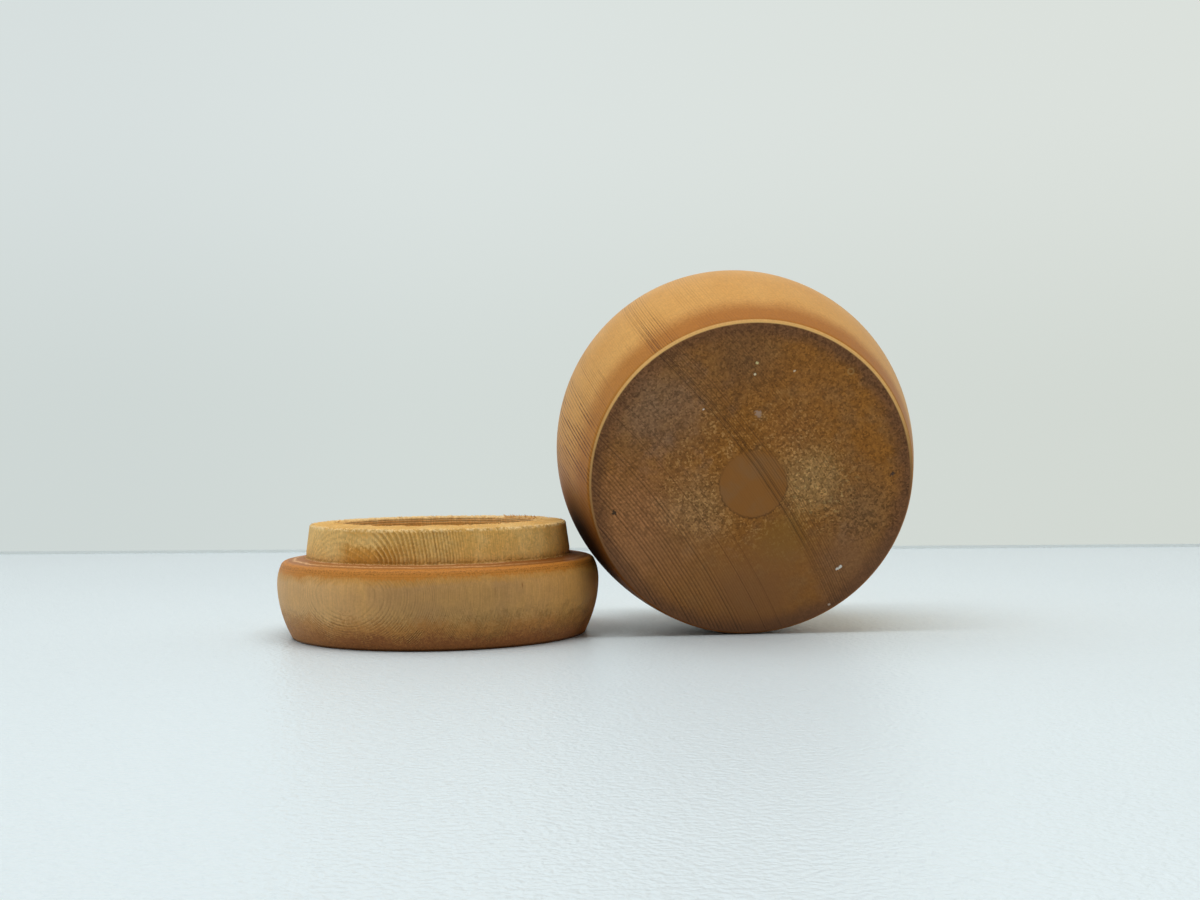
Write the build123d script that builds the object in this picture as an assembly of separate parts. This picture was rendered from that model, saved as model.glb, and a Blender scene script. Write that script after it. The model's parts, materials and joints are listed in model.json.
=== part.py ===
"""A turned wooden box in millimetres: a round-bellied jar that lies on its side, and its plug lid beside it."""

import os

from build123d import *

# Where the two pieces meet: the lid's shoulder is as wide as the jar's rim
shoulder_radius = 39.0
seat_width = 5.9

# Lid, measured from its outer top face, on which it lies
lid_bulge = 1.4
lid_top_inset = 3.6
lid_top_edge_round = 0.4
lid_widest_height = 13.6
shoulder_height = 19.8
shoulder_drop = 0.8
shoulder_round = 1.6

# Flange of the lid, which plugs the mouth
flange_land = 1.5
flange_height = 8.2
flange_taper = 0.9
flange_tip_round = 0.6

# Hollow of the lid
flange_wall = 6.7
lid_hollow_depth = 17.0
lid_hollow_wall = 6.0
lid_hollow_edge_round = 0.6

# Outside of the jar, measured from its base
belly_bulge = 6.3
base_inset = 6.0
base_edge_round = 1.4
belly_height = 30.0
jar_height = 56.0
rim_round = 1.0

# Inside of the jar
flange_clearance = 0.25
mouth_spare_depth = 1.0
mouth_edge_round = 0.5
belly_wall = 6.0
base_thickness = 12.0

# How the two pieces lie on the table
jar_tilt = 15.0
lid_setback = 28.0
lid_gap = 0.2
settle_steps = 4

# The height, as a share of the belly's, at which the foot's slope would meet the belly's upright
foot_slope_share = 0.66
# The same on the lid, from its top face to its widest line
lid_slope_share = 0.5

# Radii of the lid, all from its shoulder
lid_widest_radius = shoulder_radius + lid_bulge
lid_top_radius = lid_widest_radius - lid_top_inset
flange_radius = shoulder_radius - seat_width
flange_tip_radius = flange_radius - flange_taper
lid_hollow_radius = flange_tip_radius - flange_wall
lid_height = shoulder_height + flange_height

# Radii of the jar, from the lid that fits it
rim_radius = shoulder_radius
belly_radius = rim_radius + belly_bulge
base_radius = belly_radius - base_inset
mouth_radius = flange_radius + flange_clearance
mouth_depth = flange_height + mouth_spare_depth

UPRIGHT = (0, 1)


def turned(outline):
    """The solid that an outline of radius and height makes when it turns about the upright axis."""
    face = make_face(outline)
    return revolve(Plane.XZ * face, Axis.Z)


def round_ring(solid, radius, height, size):
    """The solid with its sharp circle at a radius and height rounded off."""
    ring = solid.edges().sort_by(lambda edge: ring_distance(edge, radius, height))[0]
    return solid.fillet(size, [ring])


def ring_distance(edge, radius, height):
    """How far an edge's start lies from the circle at a radius and height."""
    start = edge.position_at(0)
    reach = Vector(start.X, start.Y).length
    return Vector(reach - radius, start.Z - height).length


def make_jar():
    """The jar standing on its base: a bellied wall round a bowl-shaped hollow, open at a straight mouth."""
    belly_inside = belly_radius - belly_wall
    mouth_floor = jar_height - mouth_depth
    belly = (belly_radius, belly_height)
    rim = (rim_radius, jar_height)
    hollow_belly = (belly_inside, belly_height)
    mouth_foot = (mouth_radius, mouth_floor)
    outline = [
        Line((0, 0), (base_radius, 0)),
        Bezier((base_radius, 0), (belly_radius, belly_height * foot_slope_share), belly),
        TangentArc(belly, rim, tangent=UPRIGHT),
        Line(rim, (mouth_radius, jar_height)),
        Line((mouth_radius, jar_height), mouth_foot),
        TangentArc(hollow_belly, mouth_foot, tangent=UPRIGHT),
        Bezier(hollow_belly, (belly_inside, base_thickness), (0, base_thickness)),
        Line((0, base_thickness), (0, 0)),
    ]
    jar = turned(outline)
    jar = round_ring(jar, base_radius, 0, base_edge_round)
    jar = round_ring(jar, rim_radius, jar_height, rim_round)
    return round_ring(jar, mouth_radius, jar_height, mouth_edge_round)


def make_lid():
    """The lid upside down on its top face: a bulging side, a shoulder and a hollow flange that stands up."""
    widest = (lid_widest_radius, lid_widest_height)
    shoulder_edge = shoulder_height - shoulder_drop
    shoulder = (shoulder_radius, shoulder_edge)
    land_top = (flange_radius, shoulder_height + flange_land)
    hollow_floor = lid_height - lid_hollow_depth
    hollow_turn = (lid_hollow_radius, lid_height - lid_hollow_wall)
    outline = [
        Line((0, 0), (lid_top_radius, 0)),
        Bezier((lid_top_radius, 0), (lid_widest_radius, lid_widest_height * lid_slope_share), widest),
        TangentArc(widest, shoulder, tangent=UPRIGHT),
        Line(shoulder, (flange_radius, shoulder_height)),
        Line((flange_radius, shoulder_height), land_top),
        Line(land_top, (flange_tip_radius, lid_height)),
        Line((flange_tip_radius, lid_height), (lid_hollow_radius, lid_height)),
        Line((lid_hollow_radius, lid_height), hollow_turn),
        Bezier(hollow_turn, (lid_hollow_radius, hollow_floor), (0, hollow_floor)),
        Line((0, hollow_floor), (0, 0)),
    ]
    lid = turned(outline)
    lid = round_ring(lid, lid_top_radius, 0, lid_top_edge_round)
    lid = round_ring(lid, shoulder_radius, shoulder_edge, shoulder_round)
    lid = round_ring(lid, flange_tip_radius, lid_height, flange_tip_round)
    return round_ring(lid, lid_hollow_radius, lid_height, lid_hollow_edge_round)


def lay_down(jar):
    """The jar on its side, its base to the front and its mouth tilted up, resting on the table."""
    lying = Rot(X=jar_tilt - 90) * jar
    return Pos(Z=-lying.bounding_box().min.Z) * lying


def set_beside(lid, jar):
    """The lid on the table at the jar's left, slid towards the jar until only the gap is left."""
    lid = Pos(-belly_radius - lid_widest_radius - lid_gap, lid_setback) * lid
    for step in range(settle_steps):
        lid = Pos(X=lid.distance_to(jar) - lid_gap) * lid
    return lid


def centred(pieces):
    """The pieces with the middle of their common footprint at the origin."""
    middle = Compound(pieces).bounding_box().center()
    return [Pos(-middle.X, -middle.Y) * piece for piece in pieces]


jar = lay_down(make_jar())
lid = set_beside(make_lid(), jar)
jar, lid = centred([jar, lid])

os.makedirs("parts", exist_ok=True)
export_step(jar, "parts/jar.step")
export_step(lid, "parts/lid.step")
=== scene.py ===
"""Dresses a turned wooden box, a jar that lies on its side and its plug lid, and sets it on a plain stage."""

import json
import math
from collections import namedtuple

import bpy
from bpy.props import FloatProperty, FloatVectorProperty, IntProperty, PointerProperty
from mathutils import Matrix, Vector


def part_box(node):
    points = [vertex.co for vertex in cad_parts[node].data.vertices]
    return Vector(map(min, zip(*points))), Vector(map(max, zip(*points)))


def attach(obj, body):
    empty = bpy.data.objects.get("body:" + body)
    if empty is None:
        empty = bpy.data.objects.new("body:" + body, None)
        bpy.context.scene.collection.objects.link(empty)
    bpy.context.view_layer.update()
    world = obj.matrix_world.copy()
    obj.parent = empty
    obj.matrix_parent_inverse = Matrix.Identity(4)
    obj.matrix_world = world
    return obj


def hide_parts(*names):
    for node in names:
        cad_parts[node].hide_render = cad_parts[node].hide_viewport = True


bl_info = {
    "name": "Turned Wooden Box",
    "version": (1, 0, 0),
    "blender": (4, 5, 0),
    "location": "View3D > Sidebar > Turned Box",
    "description": "Makes a turned jar, its plug lid and the stage that they lie on",
    "category": "Add Mesh",
}

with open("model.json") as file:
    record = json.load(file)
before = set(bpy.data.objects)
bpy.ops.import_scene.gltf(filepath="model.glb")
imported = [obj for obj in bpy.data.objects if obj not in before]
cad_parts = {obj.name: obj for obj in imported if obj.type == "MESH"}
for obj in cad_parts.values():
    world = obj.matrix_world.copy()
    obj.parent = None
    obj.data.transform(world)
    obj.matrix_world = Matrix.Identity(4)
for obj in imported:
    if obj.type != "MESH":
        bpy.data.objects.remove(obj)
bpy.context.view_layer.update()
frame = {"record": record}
MOUNTS = {mount["name"]: mount for mount in frame["record"]["mounts"]}

# One millimetre in metres: sizes below are written in millimetres
MM = 0.001

# Where the two pieces stand in the frame: each has its own upright axis, from the middle of its flat face
UPRIGHT = Vector((0, 0, 1))
JAR_PLACE = Vector(MOUNTS["base_face"]["pos_m"])
JAR_AXIS = -Vector(MOUNTS["base_face"]["axis"])
JAR_TURN = UPRIGHT.rotation_difference(JAR_AXIS).to_euler()
LID_PLACE = Vector(MOUNTS["lid_top_face"]["pos_m"])
LID_TURN = UPRIGHT.rotation_difference(-Vector(MOUNTS["lid_top_face"]["axis"])).to_euler()

# Sizes that the frame gives, in millimetres
MOUTH_RADIUS = MOUNTS["mouth"]["dims"]["r_mm"]
LID_HEIGHT = (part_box("lid")[1].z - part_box("lid")[0].z) / MM
LID_WIDEST = (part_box("lid")[1].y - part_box("lid")[0].y) / MM / 2
BELLY_RADIUS = (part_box("jar")[1].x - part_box("jar")[0].x) / MM / 2


# Settings


def length(name, description, default):
    """A property that holds a length, written in millimetres and kept in metres."""
    return FloatProperty(
        name=name, description=description, default=default * MM, min=0, precision=5, unit="LENGTH"
    )


def location(name, description, default):
    """A property that holds a place in the frame, written in millimetres and kept in metres."""
    return FloatVectorProperty(
        name=name, description=description, default=tuple(part * MM for part in default),
        size=3, subtype="TRANSLATION", unit="LENGTH",
    )


def tilt(name, description, degrees):
    """A property that holds an angle, written in degrees and kept in radians."""
    return FloatProperty(name=name, description=description, default=math.radians(degrees), subtype="ANGLE")


def share(name, description, default):
    """A property that holds a share of something, from none to all."""
    return FloatProperty(name=name, description=description, default=default, min=0, max=1, subtype="FACTOR")


def ratio(name, description, default):
    """A property that holds a strength or a ratio."""
    return FloatProperty(name=name, description=description, default=default)


def watts(name, description, default):
    """A property that holds the power of a lamp."""
    return FloatProperty(name=name, description=description, default=default, unit="POWER")


def count(name, description, default):
    """A property that holds a number of things."""
    return IntProperty(name=name, description=description, default=default, min=1)


def colour(name, description, default):
    """A property that holds a colour."""
    return FloatVectorProperty(
        name=name, description=description, default=default, size=3, min=0, max=1, subtype="COLOR"
    )


class JarSizes(bpy.types.PropertyGroup):
    """Sizes of the jar, measured from its base along its own axis."""

    base_radius: length("Base Radius", "Radius of the flat base, out to its edge", 39.3)
    base_edge: length("Base Edge", "Rounding of the base's edge", 1.4)
    belly_radius: length("Belly Radius", "Radius at the widest line", BELLY_RADIUS)
    belly_height: length("Belly Height", "Height of the widest line", 30.0)
    foot_slope: share("Foot Slope", "Height at which the foot's slope would meet the belly's upright", 0.66)
    height: length("Height", "Height from the base to the rim", 56.0)
    rim_radius: length("Rim Radius", "Outer radius of the rim", 39.0)
    rim_edge: length("Rim Edge", "Rounding of the rim's outer edge", 1.0)
    mouth_radius: length("Mouth Radius", "Radius of the straight mouth", MOUTH_RADIUS)
    mouth_depth: length("Mouth Depth", "Depth of the straight mouth", 9.2)
    mouth_edge: length("Mouth Edge", "Rounding of the mouth's edge", 0.5)
    belly_wall: length("Belly Wall", "Thickness of the wall at the belly", 6.0)
    base_thickness: length("Base Thickness", "Thickness of the wood under the hollow", 12.0)
    disc_radius: length("Disc Radius", "Radius of the smooth disc in the middle of the base", 8.2)
    disc_groove: length("Disc Groove", "Depth of the faint groove round the disc", 0.07)
    columns: count("Columns", "Faces round the jar", 600)


class LidSizes(bpy.types.PropertyGroup):
    """Sizes of the lid, measured from its top face, on which it lies upside down."""

    top_radius: length("Top Radius", "Radius of the flat top, out to its edge", 36.8)
    top_edge: length("Top Edge", "Rounding of the top's edge", 0.4)
    widest_radius: length("Widest Radius", "Radius at the widest line", LID_WIDEST)
    widest_height: length("Widest Height", "Height of the widest line", 13.6)
    side_slope: share("Side Slope", "Height at which the side's slope would meet the widest upright", 0.5)
    shoulder_radius: length("Shoulder Radius", "Radius of the shoulder before it is rounded", 39.0)
    shoulder_height: length("Shoulder Height", "Height of the seat at the flange's foot", 19.8)
    shoulder_drop: length("Shoulder Drop", "How far the seat falls off towards the shoulder", 0.8)
    shoulder_round: length("Shoulder Round", "Rounding of the shoulder", 1.6)
    flange_radius: length("Flange Radius", "Radius of the flange at its foot", 33.1)
    flange_land: length("Flange Land", "Height of the straight stretch at the flange's foot", 1.5)
    flange_tip_radius: length("Flange Tip Radius", "Radius of the flange at its tip", 32.2)
    flange_tip_round: length("Flange Tip Round", "Rounding of the flange's tip", 0.6)
    height: length("Height", "Height from the top face to the flange's tip", LID_HEIGHT)
    hollow_radius: length("Hollow Radius", "Radius of the hollow at its mouth", 25.5)
    hollow_depth: length("Hollow Depth", "Depth of the hollow", 17.0)
    hollow_wall: length("Hollow Wall", "Depth of the hollow's straight wall", 6.0)
    hollow_edge: length("Hollow Edge", "Rounding of the hollow's edge", 0.6)
    ridge_height: length("Ridge Height", "Height of the raised grain on the flange", 0.14)
    rim_rise: length("Rim Rise", "How much higher the rim's inner edge stands than its outer one", 0.55)
    torn_height: length("Torn Height", "Height of the torn grain on the rim", 0.26)
    columns: count("Columns", "Faces round the lid", 1024)
    rim_fibres: count("Rim Fibres", "Torn fibres along the rim's two edges", 460)
    root_fibres: count("Root Fibres", "Torn fibres along the flange's foot", 420)
    tuft_fibres: count("Tuft Fibres", "Torn fibres in the tuft at the rim's far right", 150)
    fibre_length: length("Fibre Length", "Length of a long torn fibre", 0.45)
    fibre_width: length("Fibre Width", "Width of a torn fibre at its root", 0.26)


class WoodColours(bpy.types.PropertyGroup):
    """Colours of the wood, where it is oiled, cut across and raw."""

    honey: colour("Honey", "Oiled side grain of the jar", (0.655, 0.332, 0.082))
    honey_pale: colour("Pale Honey", "Paler streaks of the oiled side grain", (0.71, 0.387, 0.113))
    amber: colour("Amber", "Oiled wood near an end, where it drinks more oil", (0.42, 0.150, 0.018))
    # Painted shade: a dark brown that stands in for shade, below the jar and on the lid's seat in the jar's
    # shadow
    painted_shade_brown: colour("Underside", "Oiled wood of the jar's underside", (0.20, 0.062, 0.010))
    # The lip's pale side grain, brightened further as a painted highlight where light falls on the rounding
    lip: colour("Lip", "Rounded edge between the jar's side and its base", (0.95, 0.55, 0.19))
    grain_line: colour("Grain Line", "Dark line at the end of a growth ring", (0.17, 0.060, 0.012))
    tan: colour("Tan", "Oiled side grain of the lid", (0.58, 0.322, 0.124))
    tan_pale: colour("Pale Tan", "Paler side grain at the lid's left", (0.65, 0.405, 0.185))
    foot_orange: colour("Foot Orange", "Oiled wood above the lid's russet foot", (0.42, 0.166, 0.034))
    russet: colour("Russet", "Darker oiled band beside the lid's top", (0.275, 0.100, 0.032))
    shoulder_gold: colour("Shoulder Gold", "Oil that ran down from the lid's shoulder", (0.55, 0.268, 0.060))
    shoulder: colour("Shoulder", "Oiled shoulder of the lid", (0.52, 0.205, 0.037))
    seat: colour("Seat", "Oiled seat beside the flange", (0.35, 0.144, 0.042))
    fringe: colour("Fringe", "Pale torn grain on the seat beside the flange", (0.76, 0.46, 0.22))
    end_brown: colour("End Brown", "Oiled end grain of the base", (0.335, 0.130, 0.023))
    end_grey: colour("End Grey", "Fuzzy greyish patches of the base", (0.27, 0.15, 0.068))
    end_dark: colour("End Dark", "Darker ring at the base's edge", (0.19, 0.082, 0.034))
    end_gold: colour("End Gold", "Pale torn fibres of the base", (0.58, 0.36, 0.13))
    raw: colour("Raw", "Raw wood of the flange and the hollows", (0.70, 0.405, 0.110))
    raw_pale: colour("Pale Raw", "Paler raised grain of the raw wood", (0.80, 0.53, 0.195))
    raw_groove: colour("Raw Groove", "Grooves between the raised grain", (0.36, 0.162, 0.026))
    raw_orange: colour("Raw Orange", "Oil stain on the raw wood", (0.55, 0.235, 0.026))
    fibre: colour("Fibre", "Torn fibres", (0.80, 0.58, 0.28))
    # Painted light: these two warm colours stand in for warm light that the jar throws back onto the lid
    painted_bounce_oiled: colour("Warm Oiled", "Oiled wood of the lid that faces the jar", (0.66, 0.23, 0.043))
    painted_bounce_raw: colour("Warm Raw", "Raw wood of the lid that faces the jar", (0.97, 0.44, 0.08))


class StageSettings(bpy.types.PropertyGroup):
    """The camera, the lamps, the floor and the backdrop."""

    camera_place: location("Camera Place", "Where the camera stands", (-29.358, -411.897, 49.860))
    yaw: tilt("Yaw", "Turn of the camera to the right", 4.219)
    pitch: tilt("Pitch", "Tilt of the camera downwards", 0.575)
    roll: tilt("Roll", "Lean of the camera", 0.705)
    focal_pixels: ratio("Focal Pixels", "Focal length in pixels of the picture", 1616.7)
    picture_width: count("Picture Width", "Pixels across the picture", 1200)
    floor: colour("Floor", "Colour of the table", (0.758, 0.862, 0.910))
    backdrop_low: colour("Backdrop Low", "Colour of the backdrop at the horizon", (0.62, 0.68, 0.665))
    backdrop_high: colour("Backdrop High", "Colour of the backdrop further up", (0.68, 0.74, 0.735))
    backdrop_warmth: share("Backdrop Warmth", "How much of the right's warmth shows on the backdrop", 0.36)
    backdrop_gain: ratio("Backdrop Gain", "Brightness of the backdrop's right beside its left", 1.045)
    seam: colour("Seam", "Colour of the thin line where the backdrop meets the table", (0.90, 0.96, 0.95))
    seam_height: length("Seam Height", "Height of that line", 1.2)
    floor_back: length("Floor Back", "How far behind the origin the table ends", 280.0)
    floor_skew: ratio("Floor Skew", "How far the table's far edge comes nearer per step to the right", 0.158)
    floor_reach: length("Floor Reach", "How far the table reaches to the sides and the front", 3000.0)
    ambient: ratio("Ambient", "Strength of the light from all round", 0.36)
    left_fill: ratio("Left Fill", "Strength of the added light from the left", 0.44)
    right_fill: ratio("Right Fill", "Strength of the added light from the right", 0.40)
    right_tint: colour("Right Tint", "Colour of the light from the right, which is warmer", (1.0, 0.92, 0.80))
    front_light: ratio("Front Light", "Share of these lights that the front gives", 0.45)
    back_light: ratio("Back Light", "Share of these lights that the back gives", 1.2)
    front_mirror: share("Front Mirror", "Share of the backdrop that a sheen mirrors from the front", 0.25)
    strip_power: watts("Strip Power", "Power of the overhead strip lamp", 3.2)
    strip_width: length("Strip Width", "Width of the strip lamp", 900.0)
    strip_depth: length("Strip Depth", "Depth of the strip lamp", 100.0)
    strip_place: location("Strip Place", "Strip lamp's place, y from the base's plane", (-50.0, 0.0, 850.0))
    panel_power: watts("Panel Power", "Power of the wide lamp overhead", 3.4)
    panel_width: length("Panel Width", "Width of the wide lamp", 1400.0)
    panel_depth: length("Panel Depth", "Depth of the wide lamp", 1000.0)
    panel_place: location("Panel Place", "Where the wide lamp hangs", (-100.0, 50.0, 1000.0))


# Nodes


class Wiring:
    """Adds nodes to a tree and joins them, so that a formula reads line by line."""

    def __init__(self, tree):
        self.tree = tree

    def feed(self, socket, value):
        """Joins an output to a socket, or sets the socket's own value."""
        if isinstance(value, bpy.types.NodeSocket):
            self.tree.links.new(value, socket)
        elif socket.type == "RGBA":
            socket.default_value = (*value[:3], 1)
        else:
            socket.default_value = value

    def add(self, kind, inputs=None, **settings):
        """A new node with its settings and its inputs, which are named or numbered."""
        node = self.tree.nodes.new(kind)
        for name, value in settings.items():
            setattr(node, name, value)
        for key, value in (inputs or {}).items():
            self.feed(node.inputs[key], value)
        return node

    def out(self, kind, inputs=None, **settings):
        """The first output of a new node."""
        return self.add(kind, inputs, **settings).outputs[0]

    def group(self, tree, inputs):
        """The outputs of a node group placed in the tree with its own values."""
        kind = "GeometryNodeGroup" if tree.bl_idname == "GeometryNodeTree" else "ShaderNodeGroup"
        return self.add(kind, inputs, node_tree=tree).outputs

    def math(self, operation, *values):
        """The result of one sum on numbers."""
        return self.out("ShaderNodeMath", dict(enumerate(values)), operation=operation)

    def chain(self, operation, values):
        """The result of one sum that takes up number after number."""
        result = values[0]
        for value in values[1:]:
            result = self.math(operation, result, value)
        return result

    def plus(self, *values):
        """The sum of some numbers."""
        return self.chain("ADD", values)

    def times(self, *values):
        """The product of some numbers."""
        return self.chain("MULTIPLY", values)

    def most(self, *values):
        """The largest of some numbers."""
        return self.chain("MAXIMUM", values)

    def minus(self, first, second):
        """A number less another."""
        return self.math("SUBTRACT", first, second)

    def over(self, first, second):
        """A number divided by another."""
        return self.math("DIVIDE", first, second)

    def centred(self, value):
        """A number from 0 to 1, moved so that it lies about 0."""
        return self.minus(value, 0.5)

    def vector(self, operation, *values):
        """The result of one sum on vectors."""
        node = self.add("ShaderNodeVectorMath", dict(enumerate(values)), operation=operation)
        return node.outputs["Value" if operation in ("LENGTH", "DISTANCE", "DOT_PRODUCT") else "Vector"]

    def scaled(self, vector, factor):
        """A vector times a number."""
        return self.out("ShaderNodeVectorMath", {"Vector": vector, "Scale": factor}, operation="SCALE")

    def stretched(self, vector, factors):
        """A vector whose three numbers are each multiplied by their own factor."""
        return self.vector("MULTIPLY", vector, factors)

    def split(self, vector):
        """The three numbers of a vector."""
        return tuple(self.add("ShaderNodeSeparateXYZ", {0: vector}).outputs)

    def join(self, x, y, z):
        """A vector of three numbers."""
        return self.out("ShaderNodeCombineXYZ", {0: x, 1: y, 2: z})

    def noise(self, vector, detail=2.0, roughness=0.5):
        """Smooth noise from 0 to 1, whose swells are about as wide as the vector's unit."""
        inputs = {"Vector": vector, "Scale": 1.0, "Detail": detail, "Roughness": roughness}
        return self.out("ShaderNodeTexNoise", inputs)

    def cells(self, vector):
        """Random cells about as wide as the vector's unit: a number each, and the way to the middle."""
        node = self.add("ShaderNodeTexVoronoi", {"Vector": vector, "Scale": 1.0})
        return self.split(node.outputs["Color"])[0], node.outputs["Distance"]

    def chance(self, number):
        """An unruly number from 0 to 1 that is the same for the same number."""
        return self.out("ShaderNodeTexWhiteNoise", {"W": number}, noise_dimensions="1D")

    def smooth(self, value, low, high):
        """0 below low, 1 above high, and a smooth step between; the other way round if low is the higher."""
        inputs = {"Value": value, "From Min": low, "From Max": high}
        return self.out("ShaderNodeMapRange", inputs, interpolation_type="SMOOTHSTEP")

    def band(self, value, start, full, fade, end):
        """A smooth step up from start to full, and down again from fade to end."""
        return self.times(self.smooth(value, start, full), self.smooth(value, end, fade))

    def stripe(self, value, width):
        """A soft stripe about 0, 1 in its middle and 0 from its half width on."""
        core = width * 0.3
        return self.band(value, -width, -core, core, width)

    def between(self, value, low, high):
        """A number from 0 to 1 spread evenly from low to high."""
        return self.out("ShaderNodeMapRange", {"Value": value, "To Min": low, "To Max": high})

    def mix(self, factor, first, second, blend="MIX"):
        """Two colours mixed by a factor."""
        node = self.add("ShaderNodeMix", data_type="RGBA", blend_type=blend)
        sockets = {socket.identifier: socket for socket in node.inputs}
        self.feed(sockets["Factor_Float"], factor)
        self.feed(sockets["A_Color"], first)
        self.feed(sockets["B_Color"], second)
        return next(socket for socket in node.outputs if socket.identifier == "Result_Color")

    def tint(self, ground, other, *masks):
        """A colour turned into another as far as all of some masks and strengths say."""
        return self.mix(self.times(*masks), ground, other)

    def dim(self, ground, factor):
        """A colour times a number."""
        return self.mix(1.0, ground, self.join(factor, factor, factor), "MULTIPLY")


SOCKETS = {
    "number": "NodeSocketFloat",
    "whole": "NodeSocketInt",
    "vector": "NodeSocketVector",
    "turn": "NodeSocketRotation",
    "shape": "NodeSocketGeometry",
    "material": "NodeSocketMaterial",
}


def new_group(name, kind, inputs, outputs):
    """A new node group with named sockets, as its wiring, its input sockets by name and its output node."""
    tree = bpy.data.node_groups.new(name, kind)
    for socket, sort in inputs.items():
        tree.interface.new_socket(socket, in_out="INPUT", socket_type=SOCKETS[sort])
    for socket, sort in outputs.items():
        tree.interface.new_socket(socket, in_out="OUTPUT", socket_type=SOCKETS[sort])
    source = tree.nodes.new("NodeGroupInput")
    return Wiring(tree), source.outputs, tree.nodes.new("NodeGroupOutput")


class Spot:
    """Where a point lies in its piece's own frame, in millimetres, and its bearing in radians."""

    def __init__(self, wire, point):
        self.point = point
        self.x, self.y, self.height = wire.split(point)
        self.flat = wire.stretched(point, (1, 1, 0))
        self.reach = wire.vector("LENGTH", self.flat)
        self.bearing = wire.math("ARCTAN2", self.x, wire.times(self.y, -1.0))


def tree_spot(wire):
    """The spot of a point in a geometry tree, before the piece is laid in its place."""
    return Spot(wire, wire.scaled(wire.out("GeometryNodeInputPosition"), 1 / MM))


def shader_spot(wire, place, turn):
    """The spot of a shaded point on a piece that lies in its place."""
    seen = wire.add("ShaderNodeTexCoord").outputs["Object"]
    inputs = {"Vector": seen, "Location": place, "Rotation": turn, "Scale": (MM, MM, MM)}
    return Spot(wire, wire.out("ShaderNodeMapping", inputs, vector_type="TEXTURE"))


def in_mm(value):
    """A length in millimetres."""
    return value / MM


# Growth rings

# The two blanks: where the heart of the tree lies from each axis, how wide its rings are and how far they
# waver; in the lid the rings lie wider and bend aside towards the flange
JAR_HEART = (-163.8, 114.7, 0.0)
JAR_WIDE_RING = 0.82
JAR_NARROW_RING = 0.58
JAR_WAVER = 0.3
LID_HEART = (106.0, 169.6, 0.0)
LID_RING = 0.22
LID_FLANGE_HEART = (138.9, 143.9, 0.0)
LID_FLANGE_RING = 0.50
LID_WAVER = 0.2
# How far the lid's outermost wood lies from the middle of its blank, away from the heart
LID_OUTERMOST = -LID_WIDEST
# Swells of the rings' waver in a millimetre, across and along the trunk
WAVER_SWELLS = (0.11, 0.11, 0.035)
# Parts of a ring's width: where its dark line starts, is full, fades and ends
DARK_LINE = (0.34, 0.80, 0.84, 1.0)
# Parts of a ring's width: where its crest ends and is full
CREST = (0.36, 0.08)


def growth_rings(kind):
    """The group that tells how far a point lies towards the tree's heart, and how near a ring's line."""
    inputs = {"Point": "vector", "Heart": "vector", "Ring": "number", "Waver": "number"}
    outputs = {"Growth": "number", "Line": "number", "Crest": "number", "Chance": "number"}
    wire, given, result = new_group("Growth Rings " + kind, kind, inputs, outputs)
    across = wire.stretched(given["Point"], (1, 1, 0))
    to_heart = wire.vector("DISTANCE", across, given["Heart"])
    depth = wire.minus(wire.vector("LENGTH", given["Heart"]), to_heart)
    swell = wire.noise(wire.stretched(given["Point"], WAVER_SWELLS), detail=1.0)
    growth = wire.plus(depth, wire.times(wire.centred(swell), given["Waver"]))
    turns = wire.over(growth, given["Ring"])
    within = wire.math("FRACT", turns)
    wire.feed(result.inputs["Growth"], growth)
    wire.feed(result.inputs["Line"], wire.band(within, *DARK_LINE))
    wire.feed(result.inputs["Crest"], wire.smooth(within, *CREST))
    wire.feed(result.inputs["Chance"], wire.chance(wire.math("FLOOR", turns)))
    return wire.tree


def ring_values(spot, heart, ring, waver):
    """The inputs of the group of growth rings at a spot."""
    return {"Point": spot.point, "Heart": heart, "Ring": ring, "Waver": waver}


# The belt of wide rings in the jar, from and to a depth of growth, with its fading
JAR_WIDE_BELT = (18.0, 20.0, 38.0, 42.0)
# Belts of narrow rings in the jar, from and to a depth of growth, and how strongly they show
JAR_NARROW_BELTS = ((12.0, 18.5, 0.4), (-8.0, -2.0, 0.75), (-21.0, -14.0, 0.35), (-45.0, 45.0, 0.12))
# Depth of growth over which a belt fades out
BELT_FADE = 1.5
# Single dark lines of the jar: depth of growth, how strongly they show and how far across the base they run
JAR_SINGLE_LINES = ((-2.7, 1.0, 17.0), (-3.85, 0.9, 17.0), (11.1, 0.55, 60.0), (14.9, 0.7, 60.0))
# Half width of a single line and of its dark core, and how softly it ends
SINGLE_EDGE = 0.16
SINGLE_CORE = 0.03
SINGLE_FADE = 3.0


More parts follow.
